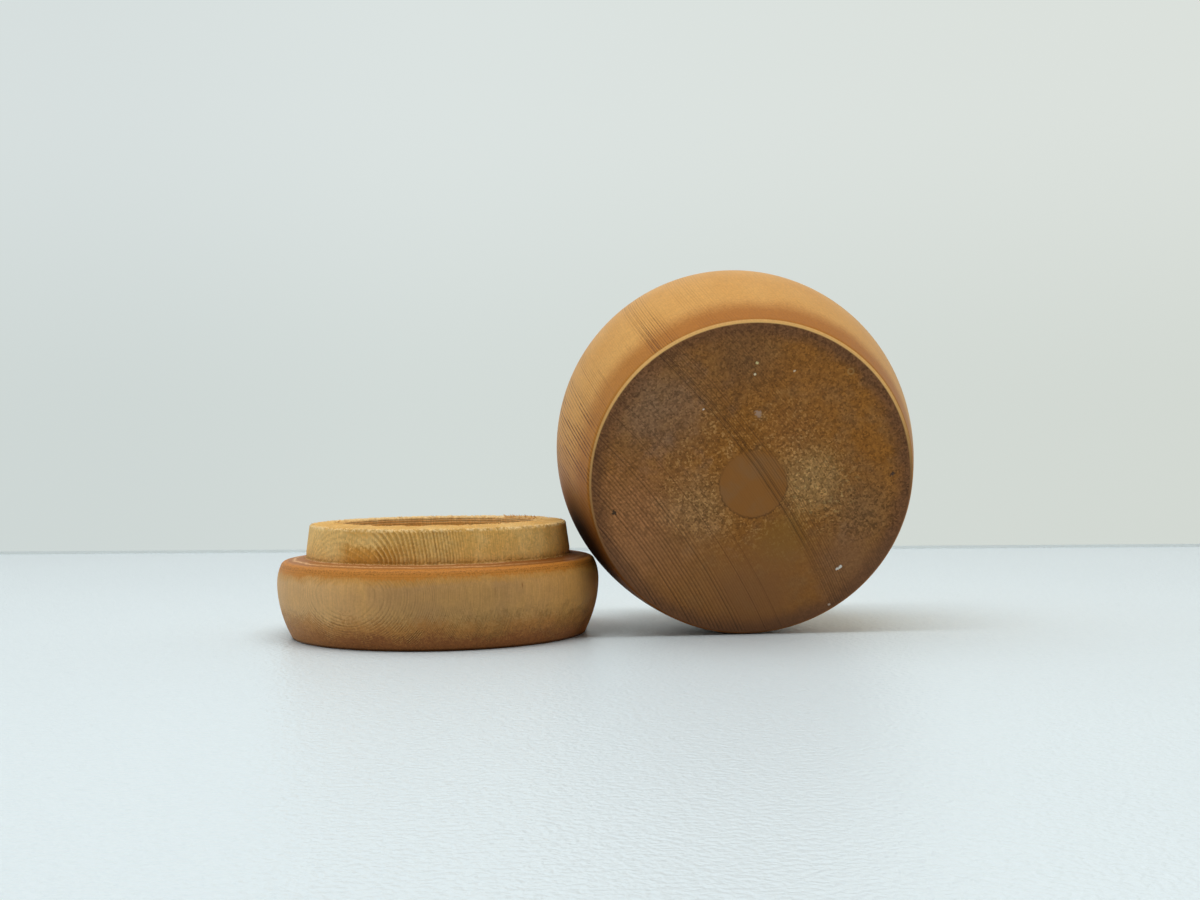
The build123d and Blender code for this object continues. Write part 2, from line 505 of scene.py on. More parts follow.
def jar_lines(wire, rings, spot, singles=1.0):
    """The jar's growth lines, dark and bright, 0 to 1: wide rings, belts of narrow ones, single lines."""
    wide = wire.group(rings, ring_values(spot, JAR_HEART, JAR_WIDE_RING, JAR_WAVER))
    narrow = wire.group(rings, ring_values(spot, JAR_HEART, JAR_NARROW_RING, JAR_WAVER))
    growth = wide["Growth"]
    belt = wire.times(wire.band(growth, *JAR_WIDE_BELT), wire.between(wide["Chance"], 0.35, 1.0))
    lines = wire.times(wide["Line"], belt)
    crests = wire.times(wide["Crest"], belt)
    for start, end, strength in JAR_NARROW_BELTS:
        belt = wire.times(wire.band(growth, start - BELT_FADE, start, end, end + BELT_FADE), strength)
        belt = wire.times(belt, wire.between(narrow["Chance"], 0.3, 1.0))
        lines = wire.most(lines, wire.times(narrow["Line"], belt))
        crests = wire.most(crests, wire.times(narrow["Crest"], belt))
    for middle, strength, end in JAR_SINGLE_LINES:
        line = wire.band(
            growth, middle - SINGLE_EDGE, middle - SINGLE_CORE, middle + SINGLE_CORE, middle + SINGLE_EDGE
        )
        past_end = wire.smooth(spot.y, end - SINGLE_FADE, end + SINGLE_FADE)
        line = wire.times(line, strength * singles, wire.between(past_end, 1.0, 0.35))
        lines = wire.most(lines, line)
    return lines, crests


# Height of the middle of the lid's flange, and the places across over which the rings begin to lean
FLANGE_MIDDLE = 24.0
LEANING_LEFT = (-5.0, -16.0)
# Bearings between which the flange's rings show strongly
RIDGED_FLANGE = (-0.49, -0.42, 0.02, 0.32)


def leaning(wire, spot):
    """A spot of the lid moved aside with its height, as the rings at the flange's left lean over."""
    lean = wire.times(wire.smooth(spot.x, *LEANING_LEFT), 0.3)
    aside = wire.times(lean, wire.minus(spot.height, FLANGE_MIDDLE))
    return Spot(wire, wire.vector("ADD", spot.point, wire.join(aside, 0.0, 0.0)))


def flange_rings(wire, rings, leaned):
    """The growth rings of the lid's flange, and how strongly they show: most near its front."""
    ring = wire.group(rings, ring_values(leaned, LID_FLANGE_HEART, LID_FLANGE_RING, LID_WAVER))
    return ring, wire.most(wire.band(leaned.bearing, *RIDGED_FLANGE), 0.2)


# Outlines, as points of radius and height


def straight(start, end, steps):
    """Points along a straight stretch, without its start."""
    return [start.lerp(end, step / steps) for step in range(1, steps + 1)]


def bend(start, corner, end, steps):
    """Points along a curve that leaves its start towards a corner and reaches its end from it."""
    shares = [step / steps for step in range(steps + 1)]
    return [start.lerp(corner, part).lerp(corner.lerp(end, part), part) for part in shares]


def upright_arc(start, end, steps):
    """Points along the arc that leaves its start upright and leans in to its end."""
    inset = start.x - end.x
    rise = end.y - start.y
    radius = (inset**2 + rise**2) / (2 * inset)
    sweep = math.asin(rise / radius)
    centre = Vector((start.x - radius, start.y))
    angles = [sweep * step / steps for step in range(steps + 1)]
    return [centre + radius * Vector((math.cos(angle), math.sin(angle))) for angle in angles]


def rounded(before, tip, after, radius, steps):
    """Points along the arc that rounds off a corner which turns left."""
    incoming = (tip - before).normalized()
    outgoing = (after - tip).normalized()
    turn = incoming.angle(outgoing)
    start = tip - incoming * radius * math.tan(turn / 2)
    centre = start + radius * Vector((-incoming.y, incoming.x))
    return [centre + Matrix.Rotation(turn * step / steps, 2) @ (start - centre) for step in range(steps + 1)]


def clear_of(points, tip, distance):
    """The points that lie further than a distance from a tip."""
    return [point for point in points if (point - tip).length > distance]


def jar_outlines(sizes):
    """The jar's base from its middle, its side up to the mouth, and its inside, on to the hollow's floor."""
    inside = sizes.belly_radius - sizes.belly_wall
    middle = Vector((0, 0))
    edge = Vector((sizes.base_radius, 0))
    belly = Vector((sizes.belly_radius, sizes.belly_height))
    rim = Vector((sizes.rim_radius, sizes.height))
    mouth = Vector((sizes.mouth_radius, sizes.height))
    mouth_foot = Vector((sizes.mouth_radius, sizes.height - sizes.mouth_depth))
    hollow_belly = Vector((inside, sizes.belly_height))
    floor = Vector((0, sizes.base_thickness))
    foot = bend(edge, Vector((belly.x, belly.y * sizes.foot_slope)), belly, steps=24)
    shoulder = upright_arc(belly, rim, steps=22)
    lip = rounded(middle, edge, foot[1], sizes.base_edge, steps=6)
    rim_turn = rounded(shoulder[-2], rim, mouth, sizes.rim_edge, steps=5)
    mouth_turn = rounded(rim, mouth, mouth_foot, sizes.mouth_edge, steps=4)
    base = [middle, *straight(middle, lip[0], steps=64), *lip[1:3]]
    side = [*lip[3:], *clear_of(foot, edge, sizes.base_edge), *clear_of(shoulder[1:], rim, sizes.rim_edge)]
    side += [*rim_turn, *straight(rim_turn[-1], mouth_turn[0], steps=4)]
    neck = upright_arc(hollow_belly, mouth_foot, steps=8)[::-1]
    hollow = bend(hollow_belly, Vector((inside, floor.y)), floor, steps=22)
    inner = [*mouth_turn[1:], *straight(mouth_turn[-1], mouth_foot, steps=4), *neck[1:], *hollow[1:]]
    return {"end_grain": base, "oiled": side, "raw": inner}


def lid_outlines(sizes):
    """The lid's outside, from its top's middle to the flange's foot, and its raw wood, on to the hollow."""
    middle = Vector((0, 0))
    top = Vector((sizes.top_radius, 0))
    widest = Vector((sizes.widest_radius, sizes.widest_height))
    shoulder = Vector((sizes.shoulder_radius, sizes.shoulder_height - sizes.shoulder_drop))
    foot = Vector((sizes.flange_radius, sizes.shoulder_height))
    land = Vector((sizes.flange_radius, sizes.shoulder_height + sizes.flange_land))
    tip = Vector((sizes.flange_tip_radius, sizes.height))
    hollow = Vector((sizes.hollow_radius, sizes.height))
    hollow_foot = Vector((sizes.hollow_radius, sizes.height - sizes.hollow_wall))
    floor = Vector((0, sizes.height - sizes.hollow_depth))
    side = bend(top, Vector((widest.x, widest.y * sizes.side_slope)), widest, steps=11)
    bulge = upright_arc(widest, shoulder, steps=5)
    top_turn = rounded(middle, top, side[1], sizes.top_edge, steps=3)
    shoulder_turn = rounded(bulge[-2], shoulder, foot, sizes.shoulder_round, steps=6)
    tip_turn = rounded(land, tip, hollow, sizes.flange_tip_round, steps=4)
    hollow_turn = rounded(tip, hollow, hollow_foot, sizes.hollow_edge, steps=4)
    outside = [middle, *straight(middle, top_turn[0], steps=3), *top_turn[1:]]
    outside += clear_of(side, top, sizes.top_edge)
    outside += clear_of(bulge[1:], shoulder, sizes.shoulder_round)
    outside += [*shoulder_turn, *straight(shoulder_turn[-1], foot, steps=5)]
    raw = [*straight(foot, land, steps=4), *straight(land, tip_turn[0], steps=24), *tip_turn[1:]]
    raw += [*straight(tip_turn[-1], hollow_turn[0], steps=6), *hollow_turn[1:]]
    raw += straight(hollow_turn[-1], hollow_foot, steps=4)
    raw += bend(hollow_foot, Vector((hollow_foot.x, floor.y)), floor, steps=10)[1:]
    return {"oiled": outside, "raw": raw}


def outline_object(name, zones):
    """An object that holds an outline as a line of points, with a mark on the points of each of its zones."""
    points = [point for members in zones.values() for point in members]
    edges = [(index, index + 1) for index in range(len(points) - 1)]
    mesh = bpy.data.meshes.new(name)
    mesh.from_pydata([(point.x, 0, point.y) for point in points], edges, [])
    for zone in zones:
        marks = [float(other == zone) for other, members in zones.items() for point in members]
        mesh.attributes.new(zone, "FLOAT", "POINT").data.foreach_set("value", marks)
    piece = bpy.data.objects.new(name, mesh)
    bpy.context.scene.collection.objects.link(piece)
    return piece


# Geometry trees

# Points nearer than this are one point, so that the seam and the two poles close
WELD = 0.0005 * MM
# Zones of a turned piece beside the oiled one, and how much of a face has to be marked to count
ZONES = {"raw": 0.3, "end_grain": 0.7}
# Inputs that the trees of both turned pieces have
TURNED_INPUTS = {
    "Outline": "shape", "Columns": "whole", "Place": "vector", "Turn": "turn",
    "oiled": "material", "raw": "material",
}


def marked(wire, zone):
    """How much a point or a face is marked with a zone."""
    return wire.out("GeometryNodeInputNamedAttribute", {"Name": zone}, data_type="FLOAT")


def turn_outline():
    """The group that turns an outline about its upright axis into a closed surface, as on a lathe."""
    inputs = {"Outline": "shape", "Columns": "whole"}
    wire, given, result = new_group("Turn Outline", "GeometryNodeTree", inputs, {"Surface": "shape"})
    rows = wire.add("GeometryNodeAttributeDomainSize", {"Geometry": given["Outline"]}).outputs["Point Count"]
    columns = wire.plus(given["Columns"], 1)
    sheet = wire.out("GeometryNodeMeshGrid", {"Vertices X": columns, "Vertices Y": rows})
    index = wire.out("GeometryNodeInputIndex")
    column = wire.math("FLOOR", wire.over(wire.plus(index, 0.5), rows))
    on_row = {"Geometry": given["Outline"], "Index": wire.minus(index, wire.times(column, rows))}
    for zone in ZONES:
        mark = wire.out("GeometryNodeSampleIndex", {**on_row, "Value": marked(wire, zone)}, clamp=True)
        stored = {"Geometry": sheet, "Name": zone, "Value": mark}
        sheet = wire.out("GeometryNodeStoreNamedAttribute", stored)
    sampler = wire.add("GeometryNodeSampleIndex", on_row, data_type="FLOAT_VECTOR", clamp=True)
    wire.feed(sampler.inputs["Value"], wire.out("GeometryNodeInputPosition"))
    on_outline = wire.split(sampler.outputs[0])
    radius, height = on_outline[0], on_outline[2]
    angle = wire.times(wire.over(column, given["Columns"]), 2 * math.pi)
    east = wire.times(radius, wire.math("SINE", angle))
    north = wire.times(radius, wire.math("COSINE", angle), -1.0)
    place = wire.join(east, north, height)
    spun = wire.out("GeometryNodeSetPosition", {"Geometry": sheet, "Position": place})
    welded = wire.out("GeometryNodeMergeByDistance", {"Geometry": spun, "Distance": WELD})
    wire.feed(result.inputs["Surface"], welded)
    return wire.tree


def finished(wire, shape, given):
    """The last steps of a tree: the surface laid in its place, smooth, with the material of each zone."""
    where = {"Geometry": shape, "Translation": given["Place"], "Rotation": given["Turn"]}
    smooth = wire.out("GeometryNodeSetShadeSmooth", {"Geometry": wire.out("GeometryNodeTransform", where)})
    real = wire.out("GeometryNodeRealizeInstances", {"Geometry": smooth})
    coated = wire.out("GeometryNodeSetMaterial", {"Geometry": real, "Material": given["oiled"]})
    for zone, limit in ZONES.items():
        if zone in given:
            chosen = wire.math("GREATER_THAN", marked(wire, zone), limit)
            inputs = {"Geometry": coated, "Selection": chosen, "Material": given[zone]}
            coated = wire.out("GeometryNodeSetMaterial", inputs)
    return coated


def raised(wire, shape, relief):
    """A surface moved along its normals by a relief in millimetres."""
    offset = wire.scaled(wire.out("GeometryNodeInputNormal"), wire.times(relief, MM))
    return wire.out("GeometryNodeSetPosition", {"Geometry": shape, "Offset": offset})


# Middle of the smooth disc on the base, in millimetres across and down
DISC_MIDDLE = (0.4, 1.0, 0.0)
# Distances from the disc's edge at which the groove round it starts, is deepest, rises and ends
DISC_GROOVE = (-0.5, -0.1, 0.1, 0.7)
# Height of the tool rings and of the slow swells on the base, in millimetres
BASE_RIPPLE = 0.09
BASE_SWELL = 0.16


def jar_tree(turn):
    """The tree of the jar: its turned outline with a groove round the disc, tool rings and a little swell."""
    numbers = ("Disc Radius", "Groove", "Base Radius")
    inputs = {**TURNED_INPUTS, "end_grain": "material", **dict.fromkeys(numbers, "number")}
    wire, given, result = new_group("Turned Jar", "GeometryNodeTree", inputs, {"Surface": "shape"})
    shape = wire.group(turn, {"Outline": given["Outline"], "Columns": given["Columns"]})[0]
    spot = tree_spot(wire)
    off_disc = wire.minus(wire.vector("DISTANCE", spot.flat, DISC_MIDDLE), given["Disc Radius"])
    from_edge = wire.minus(given["Base Radius"], spot.reach)
    on_base = wire.times(wire.smooth(spot.height, 0.06, 0.02), wire.smooth(from_edge, 1.1, 2.2))
    groove = wire.times(wire.band(off_disc, *DISC_GROOVE), given["Groove"], -1.0)
    tool = wire.noise(wire.join(wire.times(spot.reach, 0.55), 0.0, 0.0))
    ripple = wire.times(wire.centred(tool), BASE_RIPPLE)
    swell = wire.times(wire.centred(wire.noise(wire.scaled(spot.point, 0.13))), BASE_SWELL)
    relief = wire.times(on_base, wire.plus(groove, ripple, swell))
    wire.feed(result.inputs["Surface"], finished(wire, raised(wire, shape, relief), given))
    return wire.tree


# Radii of the lid in millimetres: from the flat rim to the flange's outside, the torn stretches along the
# rim's outer and inner edges and between them, the rim's slope, and the seat at the flange's foot
FLANGE_WALL = (30.8, 31.4)
OUTER_TEAR = (30.4, 31.4)
INNER_TEAR = (24.9, 25.2, 26.2, 27.4)
RIM_TEAR = (24.9, 25.4)
RIM_SLOPE = (32.0, 25.6)
ROOT_TEAR = (33.8, 33.4)
# Middle of the torn tuft on the lid's rim, in millimetres, and the distances over which its mound falls off
TUFT_MIDDLE = (21.5, 14.5, LID_HEIGHT)
TUFT_MOUND = (8.0, 2.0)


def rim_share(wire, y):
    """How much of the rim's rise there is at a place from front to back: all in front, least behind."""
    return wire.between(wire.smooth(y, -10.0, 10.0), 1.0, 0.15)


def lid_tree(turn, rings):
    """The tree of the lid: its turned outline with raised grain, torn edges and a sloping rim."""
    inputs = {**TURNED_INPUTS, **dict.fromkeys(("Ridge", "Torn", "Rise", "Seat", "Tip"), "number")}
    wire, given, result = new_group("Turned Lid", "GeometryNodeTree", inputs, {"Surface": "shape"})
    shape = wire.group(turn, {"Outline": given["Outline"], "Columns": given["Columns"]})[0]
    spot = tree_spot(wire)
    reach = spot.reach
    ring, strength = flange_rings(wire, rings, leaning(wire, spot))
    above_seat = wire.minus(spot.height, given["Seat"])
    below_tip = wire.minus(given["Tip"], spot.height)
    on_flange = wire.times(
        wire.smooth(above_seat, 0.2, 0.9), wire.smooth(below_tip, 0.3, 0.9), wire.smooth(reach, *FLANGE_WALL)
    )
    crest = wire.minus(wire.times(ring["Crest"], 0.7), wire.times(ring["Line"], 0.5))
    ridges = wire.times(crest, given["Ridge"], strength, on_flange)
    rough = wire.noise(wire.stretched(spot.point, (0.9, 0.9, 0.6)), detail=4.0, roughness=0.65)
    tear = wire.minus(wire.smooth(rough, 0.38, 0.60), 0.7)
    near_tip = wire.smooth(below_tip, 1.0, 0.2)
    edges = wire.plus(
        wire.smooth(reach, *OUTER_TEAR),
        wire.times(wire.band(reach, *INNER_TEAR), 0.7),
        wire.times(wire.smooth(reach, *RIM_TEAR), 0.2),
    )
    at_root = wire.times(wire.band(above_seat, -0.25, -0.05, 0.15, 0.5), wire.smooth(reach, *ROOT_TEAR))
    torn = wire.times(tear, given["Torn"], wire.most(wire.times(near_tip, edges), at_root))
    shape = raised(wire, shape, wire.plus(ridges, torn))
    slope = wire.times(wire.smooth(reach, *RIM_SLOPE), near_tip, wire.between(rough, 0.7, 1.3))
    mound = wire.smooth(wire.vector("DISTANCE", spot.point, TUFT_MIDDLE), *TUFT_MOUND)
    mound = wire.times(mound, near_tip, wire.smooth(rough, 0.4, 0.6), 0.7)
    rise = wire.plus(wire.times(slope, rim_share(wire, spot.y)), mound)
    lift = wire.join(0.0, 0.0, wire.times(rise, given["Rise"], MM))
    shape = wire.out("GeometryNodeSetPosition", {"Geometry": shape, "Offset": lift})
    wire.feed(result.inputs["Surface"], finished(wire, shape, given))
    return wire.tree


def random_number(wire, low, high, seed):
    """A number for each point, between two values, from a fixed seed."""
    node = wire.add("FunctionNodeRandomValue", data_type="FLOAT")
    sockets = {socket.identifier: socket for socket in node.inputs}
    wire.feed(sockets["Min_001"], low)
    wire.feed(sockets["Max_001"], high)
    wire.feed(sockets["Seed"], seed)
    return node.outputs[1]


# Bearings from the front between which fibres stand: all round, and in a tuft at the far right
ALL_ROUND = (0.0, 2 * math.pi)
TUFT = (1.85, 2.42)
# How far a fibre may stand off its circle, and tip out and sideways from its lean
FIBRE_STRAY = 0.25 * MM
FIBRE_TIP = 0.5
FIBRE_SWAY = 1.1


def fibre_ring(wire, fibre, count, bearings, radius, height, rise, lean, size, seed):
    """Torn fibres on a circle that may rise to the front, between two bearings, leaning by about an angle."""
    points = wire.out("GeometryNodePoints", {"Count": count})
    angle = random_number(wire, *bearings, seed)
    reach = wire.plus(radius, random_number(wire, -FIBRE_STRAY, FIBRE_STRAY, seed + 1))
    east = wire.times(reach, wire.math("SINE", angle))
    north = wire.times(reach, wire.math("COSINE", angle), -1.0)
    top = wire.plus(height, wire.times(rise, rim_share(wire, wire.times(north, 1 / MM))))
    ring = wire.out("GeometryNodeSetPosition", {"Geometry": points, "Position": wire.join(east, north, top)})
    tip_out = wire.plus(lean, random_number(wire, -FIBRE_TIP, FIBRE_TIP, seed + 2))
    sway = random_number(wire, -FIBRE_SWAY, FIBRE_SWAY, seed + 3)
    turn = wire.out("FunctionNodeEulerToRotation", {0: wire.join(tip_out, sway, angle)})
    long = wire.math("POWER", random_number(wire, 0.25, 1.0, seed + 4), 2.2)
    scale = wire.join(wire.plus(0.5, wire.times(long, 0.5)), 0.7, wire.plus(0.25, long))
    inputs = {"Points": ring, "Instance": fibre, "Rotation": turn, "Scale": wire.scaled(scale, size)}
    return wire.out("GeometryNodeInstanceOnPoints", inputs)


FIBRE_INPUTS = {
    **dict.fromkeys(("Rim Count", "Root Count", "Tuft Count"), "whole"),
    **dict.fromkeys(("Length", "Width", "Tip Radius", "Hollow Radius", "Root Radius"), "number"),
    **dict.fromkeys(("Tip", "Seat", "Rise"), "number"),
    "Place": "vector",
    "Material": "material",
}
# Where fibres stand, in metres: in from the flange's tip and below it, out from the hollow, out from the
# flange's foot and above the seat
OUTER_INSET = 0.75 * MM
OUTER_DROP = 0.12 * MM
INNER_INSET = 0.55 * MM
ROOT_OUTSET = 0.05 * MM
ROOT_RISE = 0.02 * MM
# How much of the rim's rise the fibres on its inner edge share
FIBRE_RISE_SHARE = 0.85


def fibre_tree():
    """The tree of the torn fibres: bent slivers round the rim's edges and the flange's foot, and a tuft."""
    wire, given, result = new_group("Torn Fibres", "GeometryNodeTree", FIBRE_INPUTS, {"Fibres": "shape"})
    cone = {
        "Vertices": 3,
        "Side Segments": 3,
        "Depth": given["Length"],
        "Radius Bottom": wire.times(given["Width"], 0.5),
        "Radius Top": wire.times(given["Width"], 0.06),
    }
    along = wire.split(wire.out("GeometryNodeInputPosition"))[2]
    curl = wire.over(wire.times(along, along, 0.55), given["Length"])
    bent = {"Geometry": wire.out("GeometryNodeMeshCone", cone), "Offset": wire.join(curl, 0.0, 0.0)}
    sliver = wire.out("GeometryNodeSetPosition", bent)
    half = wire.math("ROUND", wire.times(given["Rim Count"], 0.5))
    inner_edge = wire.plus(given["Hollow Radius"], INNER_INSET)
    rise = wire.times(given["Rise"], FIBRE_RISE_SHARE)
    outer = fibre_ring(
        wire, sliver, half, ALL_ROUND, wire.minus(given["Tip Radius"], OUTER_INSET),
        wire.minus(given["Tip"], OUTER_DROP), rise=0.0, lean=0.5, size=1.0, seed=11,
    )
    inner = fibre_ring(
        wire, sliver, half, ALL_ROUND, inner_edge, given["Tip"], rise, lean=-0.4, size=1.0, seed=23
    )
    tuft = fibre_ring(
        wire, sliver, given["Tuft Count"], TUFT, inner_edge, given["Tip"], rise, lean=-0.7, size=1.9, seed=53
    )
    root = fibre_ring(
        wire, sliver, given["Root Count"], ALL_ROUND, wire.plus(given["Root Radius"], ROOT_OUTSET),
        wire.plus(given["Seat"], ROOT_RISE), rise=0.0, lean=1.0, size=0.7, seed=37,
    )
    rings = wire.add("GeometryNodeJoinGeometry")
    for ring in (outer, inner, tuft, root):
        wire.feed(rings.inputs[0], ring)
    laid = wire.out("GeometryNodeTransform", {"Geometry": rings.outputs[0], "Translation": given["Place"]})
    real = wire.out("GeometryNodeRealizeInstances", {"Geometry": laid})
    coated = wire.out("GeometryNodeSetMaterial", {"Geometry": real, "Material": given["Material"]})
    wire.feed(result.inputs["Fibres"], coated)
    return wire.tree


def run_tree(piece, tree, values):
    """Runs a geometry tree on an object with its inputs set, and leaves a plain mesh in the object."""
    modifier = piece.modifiers.new("Tree", "NODES")
    modifier.node_group = tree
    for item in tree.interface.items_tree:
        if item.item_type == "SOCKET" and item.in_out == "INPUT" and item.name in values:
            modifier[item.identifier] = values[item.name]
    evaluated = piece.evaluated_get(bpy.context.evaluated_depsgraph_get())
    mesh = bpy.data.meshes.new_from_object(evaluated)
    piece.modifiers.remove(modifier)
    if not mesh.polygons:
        raise RuntimeError(piece.name + " came out empty")
    mesh.name = piece.name
    piece.data = mesh


# Shader groups


def wood_figure():
    """The group of the wood's small figure, 0 to 1: streaks along the axis, broad clouds, specks and fuzz."""
    inputs = {"Point": "vector", "Streak": "number", "Cloud": "number", "Speck": "number"}
    outputs = {"Streaks": "number", "Clouds": "number", "Specks": "number", "Fuzz": "number"}
    wire, given, result = new_group("Wood Figure", "ShaderNodeTree", inputs, outputs)
    point = given["Point"]
    drawn_out = wire.stretched(point, (1, 1, 0.06))
    streaks = wire.noise(wire.scaled(drawn_out, wire.over(1.0, given["Streak"])), detail=3.0, roughness=0.6)
    clouds = wire.noise(wire.scaled(point, wire.over(1.0, given["Cloud"])), detail=2.0)
    fineness = wire.over(1.0, given["Speck"])
    fine, fuzz = wire.cells(wire.scaled(point, fineness))
    coarse = wire.cells(wire.scaled(point, wire.times(fineness, 0.45)))[0]
    wire.feed(result.inputs["Streaks"], streaks)
    wire.feed(result.inputs["Clouds"], clouds)
    wire.feed(result.inputs["Specks"], wire.plus(wire.times(fine, 0.78), wire.times(coarse, 0.22)))
    wire.feed(result.inputs["Fuzz"], fuzz)
    return wire.tree


def turning_marks():
    """The group of the fine rings that a turning tool leaves along a path, from 0 to 1."""
    inputs = {"Path": "number", "Spacing": "number"}
    wire, given, result = new_group("Turning Marks", "ShaderNodeTree", inputs, {"Marks": "number"})
    steps = wire.over(given["Path"], given["Spacing"])
    wire.feed(result.inputs["Marks"], wire.noise(wire.join(steps, 0.0, 0.0), detail=3.0, roughness=0.65))
    return wire.tree


def figure_values(spot, streak, cloud, speck):
    """The inputs of the group of the wood's figure at a spot: widths of streaks, clouds and specks."""
    return {"Point": spot.point, "Streak": streak, "Cloud": cloud, "Speck": speck}


# Materials


def new_material(name, specular=0.5):
    """A new material, as its wiring and its principled shader, with a level of sheen."""
    material = bpy.data.materials.new(name)
    material.use_nodes = True
    shader = material.node_tree.nodes["Principled BSDF"]
    shader.inputs["Specular IOR Level"].default_value = specular
    return material, Wiring(material.node_tree), shader


def dress(wire, shader, ground, roughness, height=None):
    """Feeds a colour, a roughness and, where there is one, a relief in millimetres to the shader."""
    wire.feed(shader.inputs["Base Color"], ground)
    wire.feed(shader.inputs["Roughness"], roughness)
    if height is not None:
        wire.feed(shader.inputs["Normal"], wire.out("ShaderNodeBump", {"Distance": MM, "Height": height}))


Blemish = namedtuple("Blemish", "across down radius colour")
Wash = namedtuple("Wash", "across down radius colour strength speckle")

# Small blemishes of the base: place across and down, radius, all in millimetres, and a colour
BASE_BLEMISHES = (
    Blemish(-33.0, 7.4, 0.75, (0.07, 0.04, 0.02)),
    Blemish(34.2, -1.2, 0.65, (0.09, 0.05, 0.03)),
    Blemish(21.75, 22.85, 0.38, (0.85, 0.80, 0.72)),
    Blemish(22.05, 22.62, 0.38, (0.85, 0.80, 0.72)),
    Blemish(22.35, 22.38, 0.38, (0.85, 0.80, 0.72)),
    Blemish(22.65, 22.15, 0.38, (0.85, 0.80, 0.72)),
    Blemish(0.4, -28.9, 0.45, (0.75, 0.65, 0.30)),
    Blemish(-0.1, -26.2, 0.32, (0.80, 0.70, 0.45)),
    Blemish(9.3, -26.9, 0.34, (0.75, 0.60, 0.40)),
    Blemish(-12.1, -17.8, 0.28, (0.85, 0.78, 0.70)),
    Blemish(1.0, -16.6, 0.95, (0.45, 0.28, 0.18)),
    Blemish(20.3, 32.0, 0.35, (0.60, 0.48, 0.38)),
)
# Soft washes of the base: place, radius, colour, strength and how much more coarsely they are speckled
BASE_WASHES = (
    Wash(-28.0, 11.0, 25.0, (0.440, 0.195, 0.078), 0.75, -0.1),
    Wash(-11.0, 26.0, 15.0, (0.385, 0.167, 0.050), 0.50, -0.2),
    Wash(-24.0, -19.0, 20.0, (0.245, 0.152, 0.095), 0.62, 0.05),
    Wash(-3.0, -31.0, 14.0, (0.19, 0.094, 0.042), 0.60, 0.0),
    Wash(-13.0, 7.0, 13.0, (0.38, 0.215, 0.088), 0.50, 0.15),
    Wash(14.0, 0.0, 13.0, (0.50, 0.30, 0.118), 0.55, 0.10),
    Wash(27.0, 8.0, 13.0, (0.24, 0.130, 0.058), 0.60, 0.15),
    Wash(24.0, 21.0, 13.0, (0.26, 0.130, 0.064), 0.55, 0.05),
    Wash(8.0, 15.0, 10.0, (0.30, 0.148, 0.032), 0.55, -0.45),
    Wash(13.0, -22.0, 16.0, (0.34, 0.136, 0.031), 0.45, 0.0),
    Wash(9.0, -12.0, 9.0, (0.37, 0.155, 0.046), 0.35, 0.05),
    Wash(2.0, 30.0, 17.0, (0.28, 0.124, 0.046), 0.60, -0.4),
)
# A small pale ring on the base, and the middle of its torn patch, across and down, in millimetres
RINGLET_MIDDLE = (22.8, -26.7, 0.0)
RINGLET_RADIUS = 0.7
TORN_MIDDLE = (17.0, 1.5, 0.0)
# Radii of the base over which it darkens towards its edge, and over which its lip begins
DARK_EDGE = (33.5, 38.0)
LIP_START = (38.40, 38.75)
# Distances from the disc's edge: the dark line round it, and the ring of sparkling end grain
DISC_LINE = (-0.35, -0.08, 0.08, 0.35)
SPARK_RING = (0.3, 1.5, 7.0, 19.0)
# How far the base's specks stand out where no wash changes them, and the least that they do
SPECKLE = 0.55
LEAST_SPECKLE = 0.15


def away_from(wire, spot, mark):
    """How far a spot of the base lies from a blemish or a wash."""
    return wire.vector("DISTANCE", spot.flat, (mark.across, mark.down, 0.0))


def base_shade(wire, spot, off_disc, lines, crests, grain):
    """The base's specks and lines as a shade about 1, and masks: fuzz, lines, patches, all but the disc."""
    patches = wire.noise(wire.scaled(spot.point, 0.12), detail=3.0, roughness=0.6)
    outside = wire.smooth(off_disc, -0.5, 0.5)
    worn = wire.smooth(wire.plus(spot.y, wire.times(grain["Clouds"], 6.0)), 13.0, 22.0)
    fuzzy = wire.times(outside, wire.between(worn, 1.0, 0.4), wire.between(lines, 1.0, 0.6))
    coarse = SPECKLE
    for wash in BASE_WASHES:
        near = wire.smooth(away_from(wire, spot, wash), wash.radius, wash.radius * 0.2)
        coarse = wire.plus(coarse, wire.times(near, wash.speckle))
    salted = wire.times(wire.centred(grain["Specks"]), fuzzy, wire.most(coarse, LEAST_SPECKLE), 1.6)
    shown = wire.times(lines, wire.between(wire.smooth(patches, 0.35, 0.55), 1.0, 0.85))
    lined = wire.plus(wire.between(shown, 1.03, 0.38), wire.times(crests, 0.10))
    groove = wire.times(wire.band(off_disc, *DISC_LINE), wire.smooth(spot.y, -10.0, 5.0))
    shade = wire.times(wire.plus(1.0, salted), lined, wire.between(groove, 1.0, 0.62))
    return shade, fuzzy, shown, patches, outside


# Bearings from the jar's top: where its lip is pale as a painted highlight and dark as painted shade
# elsewhere, where its upper side lies, and where its growth lines show most, beside the lip and at the left
LIP_PAINTED_LIGHT = (-2.3, -0.7, 0.9, 1.75)
UPPER_SIDE = (-1.0, -0.2, 0.9, 1.6)
LINES_BY_LIP = (-0.92, -0.78, -0.50, -0.38)
LINES_AT_LEFT = (-1.78, -1.5, -1.05, -0.8)


def lip_painted_light(wire, colours, spot):
    """The colour of the jar's lip: pale round its top as a painted highlight, and dark below as painted
    shade.
    """
    return wire.mix(wire.band(spot.bearing, *LIP_PAINTED_LIGHT), colours.end_dark, colours.lip)


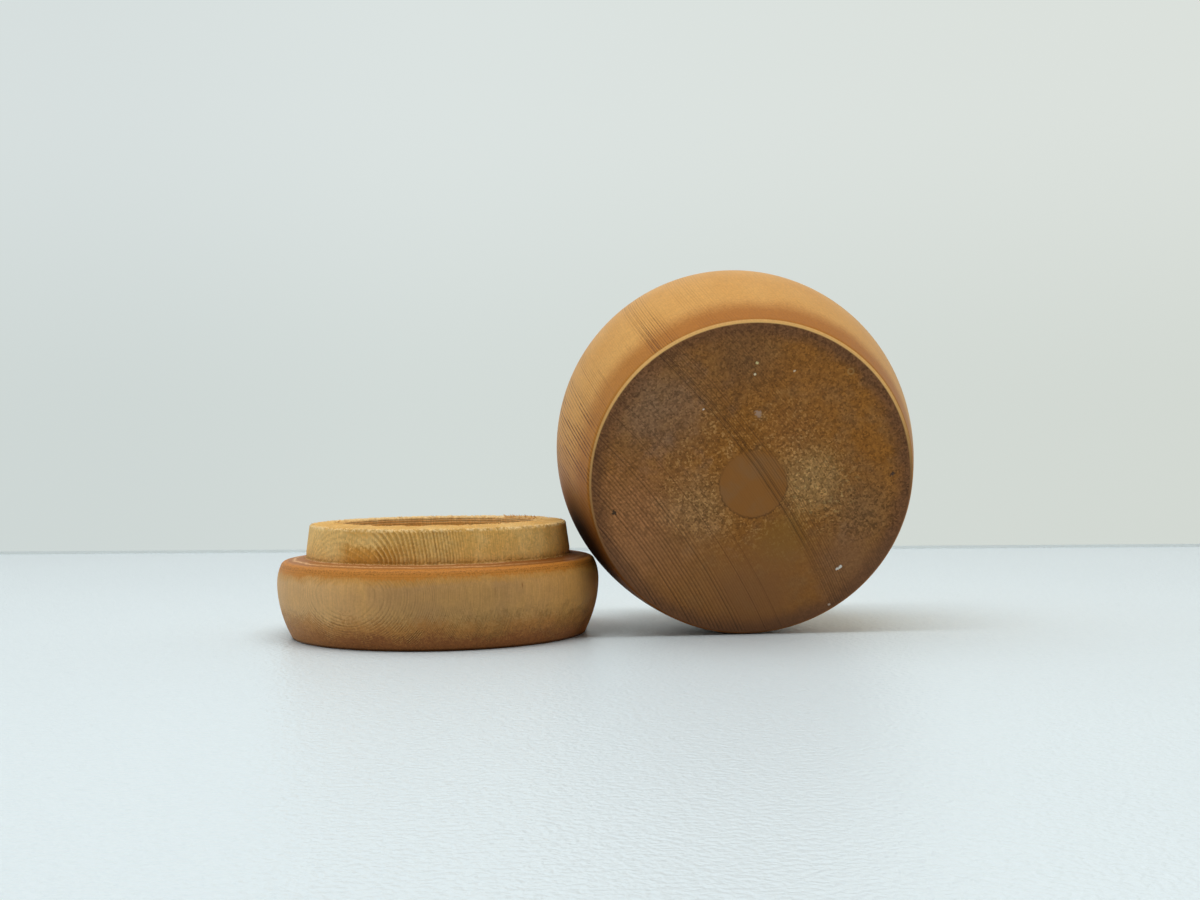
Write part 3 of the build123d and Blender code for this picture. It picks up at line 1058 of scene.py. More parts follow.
def jar_base_material(colours, sizes, rings, figure):
    """Oiled end grain of the jar's base: dark, speckled and ringed round a smooth disc."""
    material, wire, shader = new_material("jar_end_grain", 0.2)
    spot = shader_spot(wire, JAR_PLACE, JAR_TURN)
    lines, crests = jar_lines(wire, rings, spot)
    grain = wire.group(figure, figure_values(spot, 0.45, 9.0, 0.46))
    salt = wire.centred(grain["Specks"])
    off_disc = wire.minus(wire.vector("DISTANCE", spot.flat, DISC_MIDDLE), in_mm(sizes.disc_radius))
    shade, fuzzy, shown, patches, outside = base_shade(
        wire, spot, wire.plus(off_disc, wire.times(salt, 0.5)), lines, crests, grain
    )
    patchy = wire.centred(patches)
    ground = wire.tint(colours.end_brown, colours.end_grey, wire.smooth(patches, 0.42, 0.68), 0.35)
    for wash in BASE_WASHES:
        ragged = wire.plus(away_from(wire, spot, wash), wire.times(patchy, wash.radius * 1.6))
        near = wire.smooth(ragged, wash.radius, wash.radius * 0.1)
        ground = wire.tint(ground, wash.colour, near, outside, wash.strength)
    edge = wire.smooth(wire.plus(spot.reach, wire.times(patchy, 4.0)), *DARK_EDGE)
    rightward = wire.between(wire.smooth(spot.x, -25.0, 15.0), 0.84, 0.95)
    ground = wire.tint(ground, colours.end_dark, edge, rightward)
    flakes = wire.noise(wire.scaled(spot.point, 0.8), detail=2.5, roughness=0.65)
    torn_place = wire.smooth(wire.vector("DISTANCE", spot.flat, TORN_MIDDLE), 12.0, 4.0)
    torn = wire.times(wire.smooth(flakes, 0.56, 0.66), torn_place, outside)
    sparks = wire.times(wire.smooth(grain["Specks"], 0.66, 0.90), wire.band(off_disc, *SPARK_RING), fuzzy)
    sparkling = wire.between(wire.smooth(patches, 0.40, 0.60), 0.12, 0.34)
    ground = wire.tint(ground, colours.end_gold, sparks, sparkling)
    ground = wire.dim(wire.tint(ground, colours.end_gold, torn, 0.7), shade)
    for blemish in BASE_BLEMISHES:
        wobble = wire.plus(away_from(wire, spot, blemish), wire.times(salt, blemish.radius * 0.8))
        ground = wire.tint(ground, blemish.colour, wire.smooth(wobble, blemish.radius, blemish.radius * 0.5))
    off_ringlet = wire.over(wire.vector("DISTANCE", spot.flat, RINGLET_MIDDLE), RINGLET_RADIUS)
    ground = wire.tint(ground, colours.end_gold, wire.band(off_ringlet, 0.5, 0.9, 1.0, 1.5), 0.3)
    # The base's rim takes the lip's colours: painted highlight on top, painted shade below
    ground = wire.tint(ground, lip_painted_light(wire, colours, spot), wire.smooth(spot.reach, *LIP_START))
    fuzz = wire.times(grain["Fuzz"], fuzzy, -0.05)
    relief = wire.plus(fuzz, wire.times(shown, -0.07), wire.times(torn, 0.12))
    dress(wire, shader, ground, wire.between(fuzzy, 0.50, 0.85), relief)
    return material


# Middle of the painted shade on the jar's side beside the lid, and the distances over which it fades
JAR_PAINTED_SHADE = (-38.0, 20.0, 14.0)
JAR_PAINTED_SHADE_FADE = (21.0, 5.0)
# Heights of the jar's side: where amber wood begins near its base and near its rim, and where its lip lies
AMBER_BASE = (14.5, 6.0)
AMBER_RIM = (42.0, 52.0)
LIP_HEIGHTS = (-0.1, 0.02, 0.30, 0.60)


def jar_side_material(colours, rings, figure, marks):
    """Oiled side grain of the jar: honey wood with growth lines, amber near its two ends, painted shade below
    and beside the lid, and a lip painted pale as a highlight.
    """
    material, wire, shader = new_material("jar_oiled_wood", 0.09)
    spot = shader_spot(wire, JAR_PLACE, JAR_TURN)
    height = spot.height
    bearing = spot.bearing
    lines, crests = jar_lines(wire, rings, spot, singles=0.55)
    grain = wire.group(figure, figure_values(spot, 0.40, 9.0, 0.40))
    clouds = grain["Clouds"]
    streaks = grain["Streaks"]
    tool = wire.group(marks, {"Path": height, "Spacing": 0.5})["Marks"]
    ground = wire.tint(colours.honey, colours.honey_pale, wire.smooth(clouds, 0.2, 0.8), 0.6)
    upper = wire.between(wire.band(bearing, *UPPER_SIDE), 0.8, 1.0)
    mottled = wire.plus(height, wire.times(clouds, 3.0), grain["Specks"])
    near_base = wire.times(wire.smooth(mottled, *AMBER_BASE), upper)
    near_rim = wire.smooth(wire.minus(height, wire.times(clouds, 4.0)), *AMBER_RIM)
    ground = wire.tint(ground, colours.amber, wire.most(near_base, near_rim), 0.95)
    # Painted shade: the jar's lower side at the left is darkened where shade falls below it
    downward = wire.minus(spot.y, wire.times(spot.x, 0.15))
    painted_lower_shade = wire.times(wire.smooth(downward, -3.0, 24.0), wire.smooth(spot.x, 22.0, -8.0))
    ground = wire.tint(ground, colours.painted_shade_brown, painted_lower_shade, 0.9)
    # Painted shade: the side is darkened beside the lid, where shade falls between the two pieces
    painted_lid_shade = wire.smooth(wire.vector("DISTANCE", spot.point, JAR_PAINTED_SHADE), *JAR_PAINTED_SHADE_FADE)
    ground = wire.dim(ground, wire.between(painted_lid_shade, 1.0, 0.12))
    broken = wire.between(wire.smooth(streaks, 0.35, 0.6), 0.45, 0.9)
    clumps = wire.noise(wire.stretched(spot.point, (0.28, 0.28, 0.03)), detail=1.0)
    clumped = wire.smooth(clumps, 0.38, 0.56)
    by_lip = wire.times(wire.band(bearing, *LINES_BY_LIP), wire.smooth(height, 20.0, 8.0))
    drawn = wire.most(by_lip, wire.times(wire.band(bearing, *LINES_AT_LEFT), clumped))
    strength = wire.times(wire.between(clumped, 0.7, 1.0), wire.between(drawn, 0.9, 1.9))
    ground = wire.tint(ground, colours.grain_line, lines, broken, strength)
    above = wire.times(height, wire.between(wire.smooth(bearing, -1.5, -0.5), 1.7, 1.0))
    # The lip: painted highlight round the top, painted shade below
    ground = wire.tint(ground, lip_painted_light(wire, colours, spot), wire.band(above, *LIP_HEIGHTS), 0.9)
    shade = wire.times(
        wire.between(streaks, 0.86, 1.14),
        wire.between(tool, 0.92, 1.08),
        wire.between(grain["Specks"], 0.93, 1.07),
        wire.between(crests, 1.0, 1.08),
    )
    roughness = wire.plus(wire.between(streaks, 0.36, 0.48), wire.times(painted_lid_shade, 0.4))
    relief = wire.plus(wire.times(streaks, 0.012), wire.times(lines, -0.05), wire.times(tool, 0.012))
    dress(wire, shader, wire.dim(ground, shade), roughness, relief)
    return material


def jar_inside_material(colours, rings, figure, marks):
    """Raw turned wood of the jar's mouth and hollow, darker in its depth."""
    material, wire, shader = new_material("jar_raw_wood", 0.2)
    spot = shader_spot(wire, JAR_PLACE, JAR_TURN)
    lines = jar_lines(wire, rings, spot)[0]
    grain = wire.group(figure, figure_values(spot, 0.6, 8.0, 0.5))
    tool = wire.group(marks, {"Path": wire.plus(spot.height, spot.reach), "Spacing": 0.8})["Marks"]
    ground = wire.tint(colours.raw, colours.raw_pale, wire.smooth(grain["Clouds"], 0.35, 0.7))
    ground = wire.tint(ground, colours.amber, wire.smooth(spot.height, 24.0, 14.0), 0.75)
    ground = wire.tint(ground, colours.raw_groove, lines, 0.5)
    shade = wire.times(
        wire.between(grain["Streaks"], 0.84, 1.16),
        wire.between(tool, 0.82, 1.18),
        wire.between(grain["Specks"], 0.85, 1.15),
    )
    relief = wire.plus(wire.times(tool, 0.10), wire.times(grain["Specks"], 0.03), wire.times(lines, -0.04))
    dress(wire, shader, wire.dim(ground, shade), wire.between(grain["Specks"], 0.62, 0.80), relief)
    return material


Nick = namedtuple("Nick", "bearing height length width strength")

# Small dark nicks in the lid's side: bearing in degrees and height, then length, width and strength
LID_NICKS = (
    Nick(30.0, 15.0, 1.3, 0.28, 0.7),
    Nick(38.5, 15.5, 0.8, 0.20, 0.4),
    Nick(55.0, 16.8, 0.30, 0.28, 0.9),
    Nick(20.0, 14.0, 1.6, 0.16, 0.35),
)
# Dark streaks along the lid's shoulder: depth below its edge and half width
SHOULDER_LINES = ((-0.1, 0.14), (0.5, 0.16), (1.0, 0.14))
# Pale torn lines on the seat: distance from the flange's foot and half width
SEAT_LINES = ((0.2, 0.6), (3.0, 0.55))
# Bearings from the lid's front at which each of its marks starts, is full, fades and ends
PALE_LEFT = (-2.6, -1.6, -0.8, -0.4)
LOW_OIL = (-2.6, -1.2, -0.7, 0.4)
RUSSET_FOOT = (-1.3, -0.4, 2.0, 3.0)
# Painted shade: bearings where the lid's side is dimmed at its front, where less light falls
PAINTED_SHADE_FRONT = (-0.5, -0.15, 0.35, 0.7)
# Painted shadow: bearings where the seat lies in the jar's shadow and is painted darker
SHADED_SEAT = (0.1, 0.9, 1.9, 2.8)
GOLD_RIGHT = (0.3, 1.0, 1.9, 2.8)
AMBER_SHOULDER = (0.5, 1.1, 1.9, 2.8)
# Painted shadow: bearings where the jar's shadow is painted on the lid's right
PAINTED_JAR_SHADOW_RIGHT = (0.9, 1.35, 1.9, 2.8)
DULL_RIGHT = (1.0, 1.4, 1.9, 2.8)
# Painted light: bearings where warm bounce light from the jar is painted on the lid's side
PAINTED_BOUNCE_RIGHT = (1.1, 1.45, 1.9, 2.8)
# Heights of the lid's side: its orange and its russet foot, the painted contact shade at its bottom edge and
# its torn belt
ORANGE_FOOT_HEIGHTS = (9.0, 5.0)
RUSSET_FOOT_HEIGHTS = (6.0, 1.5)
PAINTED_CONTACT_SHADE_HEIGHTS = (0.75, 0.25)
TORN_BELT = (2.0, 4.0, 7.5, 11.0)
# Radii of the lid: its top's edge, where the painted contact shade lies, and its seat
TOP_EDGE = (34.5, 36.0)
SEAT_REACH = (38.3, 37.3)


def nick_place(nick):
    """The place of a nick on the lid's side, in millimetres from its axis."""
    angle = math.radians(nick.bearing)
    return LID_WIDEST * math.sin(angle), -LID_WIDEST * math.cos(angle), nick.height


def lid_outside_material(colours, sizes, rings, figure, marks):
    """Oiled wood of the lid: tan side grain with oval growth lines, an orange shoulder and a russet foot,
    with painted shade and painted bounce light from the jar.
    """
    material, wire, shader = new_material("lid_oiled_wood", 0.09)
    spot = shader_spot(wire, LID_PLACE, LID_TURN)
    height = spot.height
    bearing = spot.bearing
    ring = wire.group(rings, ring_values(spot, LID_HEART, LID_RING, LID_WAVER))
    grain = wire.group(figure, figure_values(spot, 0.35, 7.0, 0.40))
    clouds = grain["Clouds"]
    streaks = grain["Streaks"]
    tool = wire.group(marks, {"Path": wire.minus(height, spot.reach), "Spacing": 0.55})["Marks"]
    edge = in_mm(sizes.shoulder_height - sizes.shoulder_drop)
    root = in_mm(sizes.flange_radius)
    salt = wire.centred(grain["Specks"])
    cloudy = wire.centred(clouds)
    streaked = wire.centred(streaks)
    # Side, from its tan middle to its russet foot
    ragged = wire.plus(height, wire.times(salt, 2.2), wire.times(cloudy, 4.0))
    ground = wire.tint(colours.tan, colours.honey_pale, wire.smooth(clouds, 0.35, 0.7), 0.4)
    ground = wire.tint(ground, colours.tan_pale, wire.band(bearing, *PALE_LEFT), 0.55)
    ground = wire.tint(ground, colours.shoulder_gold, wire.band(bearing, *GOLD_RIGHT), 0.5)
    # Painted shade: the side's front is dimmed where less light falls
    ground = wire.dim(ground, wire.between(wire.band(bearing, *PAINTED_SHADE_FRONT), 1.0, 0.80))
    ground = wire.tint(ground, colours.foot_orange, wire.smooth(ragged, *ORANGE_FOOT_HEIGHTS), 0.7)
    low = wire.smooth(ragged, *RUSSET_FOOT_HEIGHTS)
    browned = wire.between(wire.band(bearing, *RUSSET_FOOT), 0.4, 0.92)
    ground = wire.tint(ground, colours.russet, low, browned)
    # Painted shadow: the jar's shadow on the lid's right, painted in russet
    ground = wire.tint(ground, colours.russet, wire.band(bearing, *PAINTED_JAR_SHADOW_RIGHT), 0.5)
    # Painted light: warm bounce from the jar painted on the side's right
    ground = wire.tint(ground, colours.painted_bounce_oiled, wire.band(bearing, *PAINTED_BOUNCE_RIGHT), 0.8)
    # Painted shade: the lid's bottom edge is darkened to stand in for the contact shadow on the table
    painted_contact_shade = wire.times(wire.smooth(height, *PAINTED_CONTACT_SHADE_HEIGHTS), wire.smooth(spot.reach, *TOP_EDGE))
    ground = wire.dim(ground, wire.between(painted_contact_shade, 1.0, 0.4))
    # Shoulder, from which oil ran down
    lower = wire.times(wire.band(bearing, *LOW_OIL), 0.6)
    runs = wire.plus(wire.times(cloudy, -2.0), wire.times(streaked, -1.6), wire.times(salt, 0.6))
    dripping = wire.plus(height, lower, runs)
    ground = wire.tint(ground, colours.shoulder_gold, wire.smooth(dripping, edge - 3.6, edge - 1.9), 0.65)
    high = wire.smooth(dripping, edge - 2.1, edge - 1.1)
    shoulder = wire.tint(colours.shoulder, colours.amber, wire.band(bearing, *AMBER_SHOULDER), 0.5)
    ground = wire.tint(ground, shoulder, high, 0.95)
    # Growth lines, pale crests of torn grain between them, and dark streaks along the shoulder
    inner = wire.smooth(wire.minus(ring["Growth"], LID_OUTERMOST), 0.15, 0.8)
    torn = wire.times(wire.band(ragged, *TORN_BELT), wire.smooth(clouds, 0.3, 0.55))
    patchy = wire.noise(wire.stretched(spot.point, (0.35, 0.35, 0.5)), detail=2.0)
    drawn = wire.times(
        wire.between(ring["Chance"], 0.35, 1.0),
        wire.minus(1.0, high),
        inner,
        wire.between(wire.smooth(height, 14.0, 8.0), 0.85, 1.0),
        wire.between(wire.smooth(patchy, 0.35, 0.6), 0.35, 1.0),
    )
    lines = wire.times(ring["Line"], drawn)
    crests = wire.times(ring["Crest"], drawn, torn)
    ground = wire.tint(ground, colours.raw_pale, crests, 0.30)
    streak = 0.0
    for below, width in SHOULDER_LINES:
        at = wire.plus(height, wire.times(cloudy, 1.1), wire.times(salt, 0.4), below - edge)
        streak = wire.most(streak, wire.stripe(at, width))
    streak = wire.times(streak, wire.smooth(streaks, 0.62, 0.45))
    cut = wire.times(wire.smooth(tool, 0.52, 0.66), high)
    shade = wire.times(
        wire.between(wire.times(lines, wire.between(torn, 0.58, 1.0)), 1.06, 0.64),
        wire.between(wire.smooth(streaks, 0.3, 0.7), 0.92, 1.07),
        wire.plus(1.0, wire.times(salt, wire.between(low, 0.12, 0.3))),
        wire.between(streak, 1.03, 0.70),
        wire.between(cut, 1.03, 0.78),
    )
    ground = wire.dim(ground, shade)
    for nick in LID_NICKS:
        gap = wire.vector("SUBTRACT", spot.point, nick_place(nick))
        gap = wire.vector("LENGTH", wire.stretched(gap, (1, 1, nick.width / nick.length)))
        nicked = wire.smooth(gap, nick.width, nick.width * 0.3)
        ground = wire.tint(ground, colours.russet, nicked, nick.strength)
    # Seat beside the flange
    on_seat = wire.times(wire.smooth(spot.reach, *SEAT_REACH), wire.smooth(height, edge - 1.0, edge - 0.2))
    # Painted shadow: the seat's right, in the jar's shadow, turns to the painted shade colour
    shaded = wire.band(bearing, *SHADED_SEAT)
    ground = wire.tint(ground, wire.mix(shaded, colours.seat, colours.painted_shade_brown), on_seat, 0.8)
    for distance, width in SEAT_LINES:
        at = wire.plus(spot.reach, wire.times(salt, 0.8), wire.times(cloudy, 1.6), -root - distance)
        pale = wire.times(wire.stripe(at, width), wire.between(shaded, 0.8, 0.15))
        ground = wire.tint(ground, colours.fringe, pale, on_seat)
    dull = wire.times(wire.band(bearing, *DULL_RIGHT), 0.28)
    roughness = wire.plus(wire.between(streaks, 0.40, 0.56), dull)
    relief = wire.plus(
        wire.times(lines, wire.between(torn, -0.02, -0.12)),
        wire.times(crests, 0.05),
        wire.times(grain["Fuzz"], low, -0.05),
        wire.times(tool, 0.02),
    )
    dress(wire, shader, ground, roughness, relief)
    return material


# Dark rings cut into the wall of the lid's hollow: depth below the rim and half width
HOLLOW_LINES = ((0.55, 0.16), (1.1, 0.22), (1.8, 0.12), (3.0, 0.16), (4.4, 0.20))
# Bearings from the lid's front at which each mark of its flange starts, is full, fades and ends
PALE_FLANGE = (-2.8, -2.0, -0.80, -0.55)
STAINED_FLANGE = (-0.82, -0.72, -0.36, -0.05)
STAINED_TIP = (-0.85, -0.7, 0.1, 0.5)
# Painted light: bearings where warm bounce light from the jar is painted on the flange
PAINTED_BOUNCE_FLANGE = (0.9, 1.45, 1.9, 2.8)
# Radii of the lid over which its raw wood changes: to the flange, the crumbled edge and the hollow
FLANGE_SIDE = (30.8, 31.6)
CRUMBLED_EDGE = (30.9, 31.5)
INSIDE_FLANGE = (30.8, 29.8)
# Places from front to back over which the rim is painted paler, as light from behind shining through it
RIM_PAINTED_BACKLIGHT = (4.0, 20.0)


def lid_raw_material(colours, sizes, rings, figure, marks):
    """Raw wood of the lid: ridged flange, torn rim and plain turned hollow, with painted shade at the
    flange's foot, painted bounce from the jar and a rim painted paler behind.
    """
    material, wire, shader = new_material("lid_raw_wood", 0.2)
    spot = shader_spot(wire, LID_PLACE, LID_TURN)
    height = spot.height
    reach = spot.reach
    ring, ridged = flange_rings(wire, rings, leaning(wire, spot))
    grain = wire.group(figure, figure_values(spot, 0.4, 6.0, 0.45))
    tool = wire.group(marks, {"Path": wire.plus(height, reach), "Spacing": 0.6})["Marks"]
    salt = wire.centred(grain["Specks"])
    cloudy = wire.centred(grain["Clouds"])
    streaked = wire.centred(grain["Streaks"])
    tip = in_mm(sizes.height)
    seat = in_mm(sizes.shoulder_height)
    hollow = in_mm(sizes.hollow_radius)
    # Flange, with an oil stain and raised rings
    on_flange = wire.times(wire.smooth(reach, *FLANGE_SIDE), wire.smooth(height, tip - 0.2, tip - 0.7))
    ground = wire.tint(colours.raw, colours.raw_pale, wire.smooth(grain["Clouds"], 0.35, 0.7), 0.7)
    ground = wire.tint(ground, colours.raw_pale, wire.band(spot.bearing, *PALE_FLANGE), on_flange, 0.6)
    aside = wire.plus(spot.bearing, wire.times(cloudy, 0.25), wire.times(streaked, 0.10))
    up = wire.plus(height, wire.times(cloudy, 2.0), wire.times(streaked, 3.0), wire.times(salt, 1.2))
    stain = wire.times(wire.band(aside, *STAINED_FLANGE), wire.smooth(up, seat + 5.0, seat + 3.2))
    upper = wire.times(wire.smooth(up, tip - 1.8, tip - 0.6), wire.band(aside, *STAINED_TIP), 0.5)
    ground = wire.tint(ground, colours.raw_orange, wire.most(stain, upper), on_flange, 0.75)
    # Painted light: warm bounce from the jar painted on the flange's right
    ground = wire.tint(ground, colours.painted_bounce_raw, wire.band(spot.bearing, *PAINTED_BOUNCE_FLANGE), on_flange, 0.85)
    strength = wire.times(ridged, on_flange)
    lines = wire.times(ring["Line"], wire.between(ring["Chance"], 0.5, 1.0), strength)
    crests = wire.times(ring["Crest"], strength)
    ground = wire.tint(ground, colours.raw_groove, lines, 0.75)
    ground = wire.tint(ground, colours.raw_pale, crests, 0.7)
    # Hollow and rim
    within = wire.smooth(reach, hollow + 0.5, hollow - 0.1)
    ground = wire.tint(ground, colours.raw_orange, within, 0.2)
    across = wire.times(wire.smooth(reach, *INSIDE_FLANGE), wire.between(ring["Chance"], 0.05, 0.30))
    ground = wire.tint(ground, colours.raw_groove, ring["Line"], across)
    topped = wire.times(within, wire.smooth(height, tip - 2.6, tip - 0.2))
    ground = wire.tint(ground, colours.fibre, topped, 0.8)
    rim = wire.times(wire.smooth(height, tip - 0.7, tip - 0.1), wire.minus(1.0, within))
    # Painted light: the rim's far side is paler, standing in for light from behind
    ground = wire.tint(ground, colours.fibre, rim, wire.smooth(spot.y, *RIM_PAINTED_BACKLIGHT), 0.8)
    flaky = wire.smooth(wire.plus(grain["Specks"], wire.times(cloudy, 0.6)), 0.34, 0.60)
    crumbled = wire.times(wire.smooth(height, tip - 0.9, tip - 0.35), wire.smooth(reach, *CRUMBLED_EDGE))
    ground = wire.tint(ground, colours.fibre, crumbled, flaky, 0.85)
    # Painted shade at the flange's foot, and rings cut into the hollow's wall
    frayed = wire.plus(height, wire.times(salt, 0.7))
    foot = wire.band(frayed, seat - 0.4, seat, seat + 0.2, seat + 0.9)
    ground = wire.tint(ground, colours.raw_groove, foot, 0.6)
    cut = 0.0
    for depth, width in HOLLOW_LINES:
        at = wire.plus(height, wire.times(cloudy, 0.5), depth - tip)
        cut = wire.most(cut, wire.stripe(at, width))
    cut = wire.times(cut, within)
    shade = wire.times(
        wire.between(wire.smooth(grain["Streaks"], 0.3, 0.7), 0.90, 1.09),
        wire.plus(1.0, wire.times(salt, 0.3)),
        wire.between(cut, 1.05, 0.68),
        wire.between(wire.times(tool, within), 1.0, 0.9),
    )
    relief = wire.plus(
        wire.times(grain["Fuzz"], wire.between(wire.most(crumbled, rim), -0.03, -0.08)),
        wire.times(grain["Streaks"], 0.03),
        wire.times(cut, -0.10),
        wire.times(crests, 0.04),
        wire.times(lines, -0.04),
    )
    dress(wire, shader, wire.dim(ground, shade), wire.between(grain["Specks"], 0.60, 0.85), relief)
    return material


def fibre_material(colours, figure):
    """Pale torn fibres, a little darker here and there."""
    material, wire, shader = new_material("torn_fibre", 0.2)
    spot = shader_spot(wire, LID_PLACE, LID_TURN)
    grain = wire.group(figure, figure_values(spot, 0.5, 3.0, 0.6))
    ground = wire.tint(colours.raw_pale, colours.fibre, wire.smooth(grain["Clouds"], 0.35, 0.65))
    ground = wire.dim(ground, wire.between(grain["Specks"], 0.95, 1.25))
    dress(wire, shader, ground, wire.between(grain["Specks"], 0.6, 0.8))
    return material


# Width of the table's pebbles and of its broad tones
PEBBLE = 1.25 * MM
TONE = 125.0 * MM


def floor_material(stage):
    """A pale table with a fine soft texture and a faint sheen."""
    material, wire, shader = new_material("pale_table")
    seen = wire.add("ShaderNodeTexCoord").outputs["Object"]
    pebble = wire.noise(wire.scaled(seen, 1 / PEBBLE), detail=1.5)
    tone = wire.noise(wire.scaled(seen, 1 / TONE), detail=1.0)
    ground = wire.dim(stage.floor, wire.between(tone, 0.98, 1.02))
    dress(wire, shader, ground, wire.between(pebble, 0.30, 0.42), wire.times(pebble, 0.45))
    return material


# Pieces


class BuildJar(bpy.types.Operator):
    """Turns the jar, lays it on its side and gives it its wood"""

    bl_idname = "turned_box.build_jar"
    bl_label = "Build Jar"

    def execute(self, context):
        sizes = context.scene.turned_jar
        colours = context.scene.turned_wood
        rings = growth_rings("ShaderNodeTree")
        figure = wood_figure()
        marks = turning_marks()
        jar = outline_object("turned_jar", jar_outlines(sizes))
        values = {
            "Columns": sizes.columns,
            "Place": JAR_PLACE,
            "Turn": JAR_TURN,
            "Disc Radius": in_mm(sizes.disc_radius),
            "Groove": in_mm(sizes.disc_groove),
            "Base Radius": in_mm(sizes.base_radius),
            "oiled": jar_side_material(colours, rings, figure, marks),
            "end_grain": jar_base_material(colours, sizes, rings, figure),
            "raw": jar_inside_material(colours, rings, figure, marks),
        }
        run_tree(jar, jar_tree(turn_outline()), values)
        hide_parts("jar")
        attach(jar, "jar")
        return {"FINISHED"}


class BuildLid(bpy.types.Operator):
    """Turns the lid upside down on its top and gives it its wood"""

    bl_idname = "turned_box.build_lid"
    bl_label = "Build Lid"

    def execute(self, context):
        sizes = context.scene.turned_lid
        colours = context.scene.turned_wood
        rings = bpy.data.node_groups["Growth Rings ShaderNodeTree"]
        figure = bpy.data.node_groups["Wood Figure"]
        marks = bpy.data.node_groups["Turning Marks"]
        lid = outline_object("turned_lid", lid_outlines(sizes))
        values = {
            "Columns": sizes.columns,
            "Place": LID_PLACE,
            "Turn": LID_TURN,
            "Ridge": in_mm(sizes.ridge_height),
            "Torn": in_mm(sizes.torn_height),
            "Rise": in_mm(sizes.rim_rise),
            "Seat": in_mm(sizes.shoulder_height),
            "Tip": in_mm(sizes.height),
            "oiled": lid_outside_material(colours, sizes, rings, figure, marks),
            "raw": lid_raw_material(colours, sizes, rings, figure, marks),
        }
        tree = lid_tree(bpy.data.node_groups["Turn Outline"], growth_rings("GeometryNodeTree"))
        run_tree(lid, tree, values)
        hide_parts("lid")
        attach(lid, "lid")
        return {"FINISHED"}


class BuildTornFibres(bpy.types.Operator):
    """Sets the torn fibres on the lid's rim and at the flange's foot"""

    bl_idname = "turned_box.build_torn_fibres"
    bl_label = "Build Torn Fibres"

    def execute(self, context):
        sizes = context.scene.turned_lid
        mesh = bpy.data.meshes.new("lid_torn_fibres")
        fibres = bpy.data.objects.new("lid_torn_fibres", mesh)
        context.scene.collection.objects.link(fibres)
        values = {
            "Rim Count": sizes.rim_fibres,
            "Root Count": sizes.root_fibres,
            "Tuft Count": sizes.tuft_fibres,
            "Length": sizes.fibre_length,
            "Width": sizes.fibre_width,
            "Place": LID_PLACE,
            "Tip Radius": sizes.flange_tip_radius,
            "Hollow Radius": sizes.hollow_radius,
            "Root Radius": sizes.flange_radius,
            "Tip": sizes.height,
            "Seat": sizes.shoulder_height,
            "Rise": sizes.rim_rise,
            "Material": fibre_material(context.scene.turned_wood, bpy.data.node_groups["Wood Figure"]),
        }
        run_tree(fibres, fibre_tree(), values)
        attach(fibres, "lid")
        return {"FINISHED"}


# Stage


def add_sheet(name, corners, material):
    """A flat four-cornered sheet that belongs to the stage."""
    mesh = bpy.data.meshes.new(name)
    mesh.from_pydata(corners, [], [(0, 1, 2, 3)])
    mesh.materials.append(material)
    sheet = bpy.data.objects.new(name, mesh)
    bpy.context.scene.collection.objects.link(sheet)


def build_floor(stage):
    """The table, a flat sheet that ends behind the box, and the pale seam where the backdrop meets it."""
    reach = stage.floor_reach
    left = (-reach, stage.floor_back + reach * stage.floor_skew)
    right = (reach, stage.floor_back - reach * stage.floor_skew)
    top = stage.seam_height
    corners = [(-reach, -reach, 0), (reach, -reach, 0), (*right, 0), (*left, 0)]
    add_sheet("table", corners, floor_material(stage))
    material, wire, shader = new_material("backdrop_seam")
    dress(wire, shader, stage.seam, 0.9)
    add_sheet("seam", [(*left, 0), (*right, 0), (*right, top), (*left, top)], material)


def build_world(stage):
    """A soft light from all round, least from the front, and a pale backdrop behind the table."""
    world = bpy.data.worlds.new("studio")
    world.use_nodes = True
    bpy.context.scene.world = world
    world.node_tree.nodes.clear()
    wire = Wiring(world.node_tree)
    ray = wire.add("ShaderNodeLightPath").outputs
    east, north, rise = wire.split(wire.add("ShaderNodeTexCoord").outputs["Generated"])
    behind = wire.smooth(north, -0.5, 0.4)
    tint = wire.tint((1.0, 1.0, 1.0), stage.right_tint, wire.smooth(east, -0.3, 0.5))
    backdrop = wire.tint(stage.backdrop_low, stage.backdrop_high, wire.smooth(rise, 0.0, 0.2))
    backdrop = wire.tint(backdrop, wire.mix(1.0, backdrop, tint, "MULTIPLY"), stage.backdrop_warmth)
    backdrop = wire.dim(backdrop, wire.between(wire.smooth(east, -0.25, 0.0), 1.0, stage.backdrop_gain))
    mirrored = wire.times(ray["Is Glossy Ray"], wire.minus(1.0, behind))
    clear = wire.between(mirrored, 1.0, stage.front_mirror)
    shown = wire.out("ShaderNodeBackground", {"Color": backdrop, "Strength": clear})
    left = wire.times(wire.smooth(east, 0.0, -1.0), stage.left_fill)
    right = wire.times(wire.smooth(east, 0.0, 1.0), stage.right_fill)
    around = wire.between(behind, stage.front_light, stage.back_light)
    strength = wire.times(wire.plus(stage.ambient, left, right), around)
    light = wire.out("ShaderNodeBackground", {"Color": tint, "Strength": strength})
    seen = wire.most(ray["Is Camera Ray"], ray["Is Glossy Ray"], ray["Is Transmission Ray"])
    both = wire.out("ShaderNodeMixShader", {0: seen, 1: light, 2: shown})
    wire.add("ShaderNodeOutputWorld", {"Surface": both})


def add_lamp(name, width, depth, power, place):
    """A flat lamp that faces straight down."""
    lamp = bpy.data.lights.new(name, "AREA")
    lamp.shape = "RECTANGLE"
    lamp.size = width
    lamp.size_y = depth
    lamp.energy = power
    holder = bpy.data.objects.new(name, lamp)
    holder.location = place
    bpy.context.scene.collection.objects.link(holder)


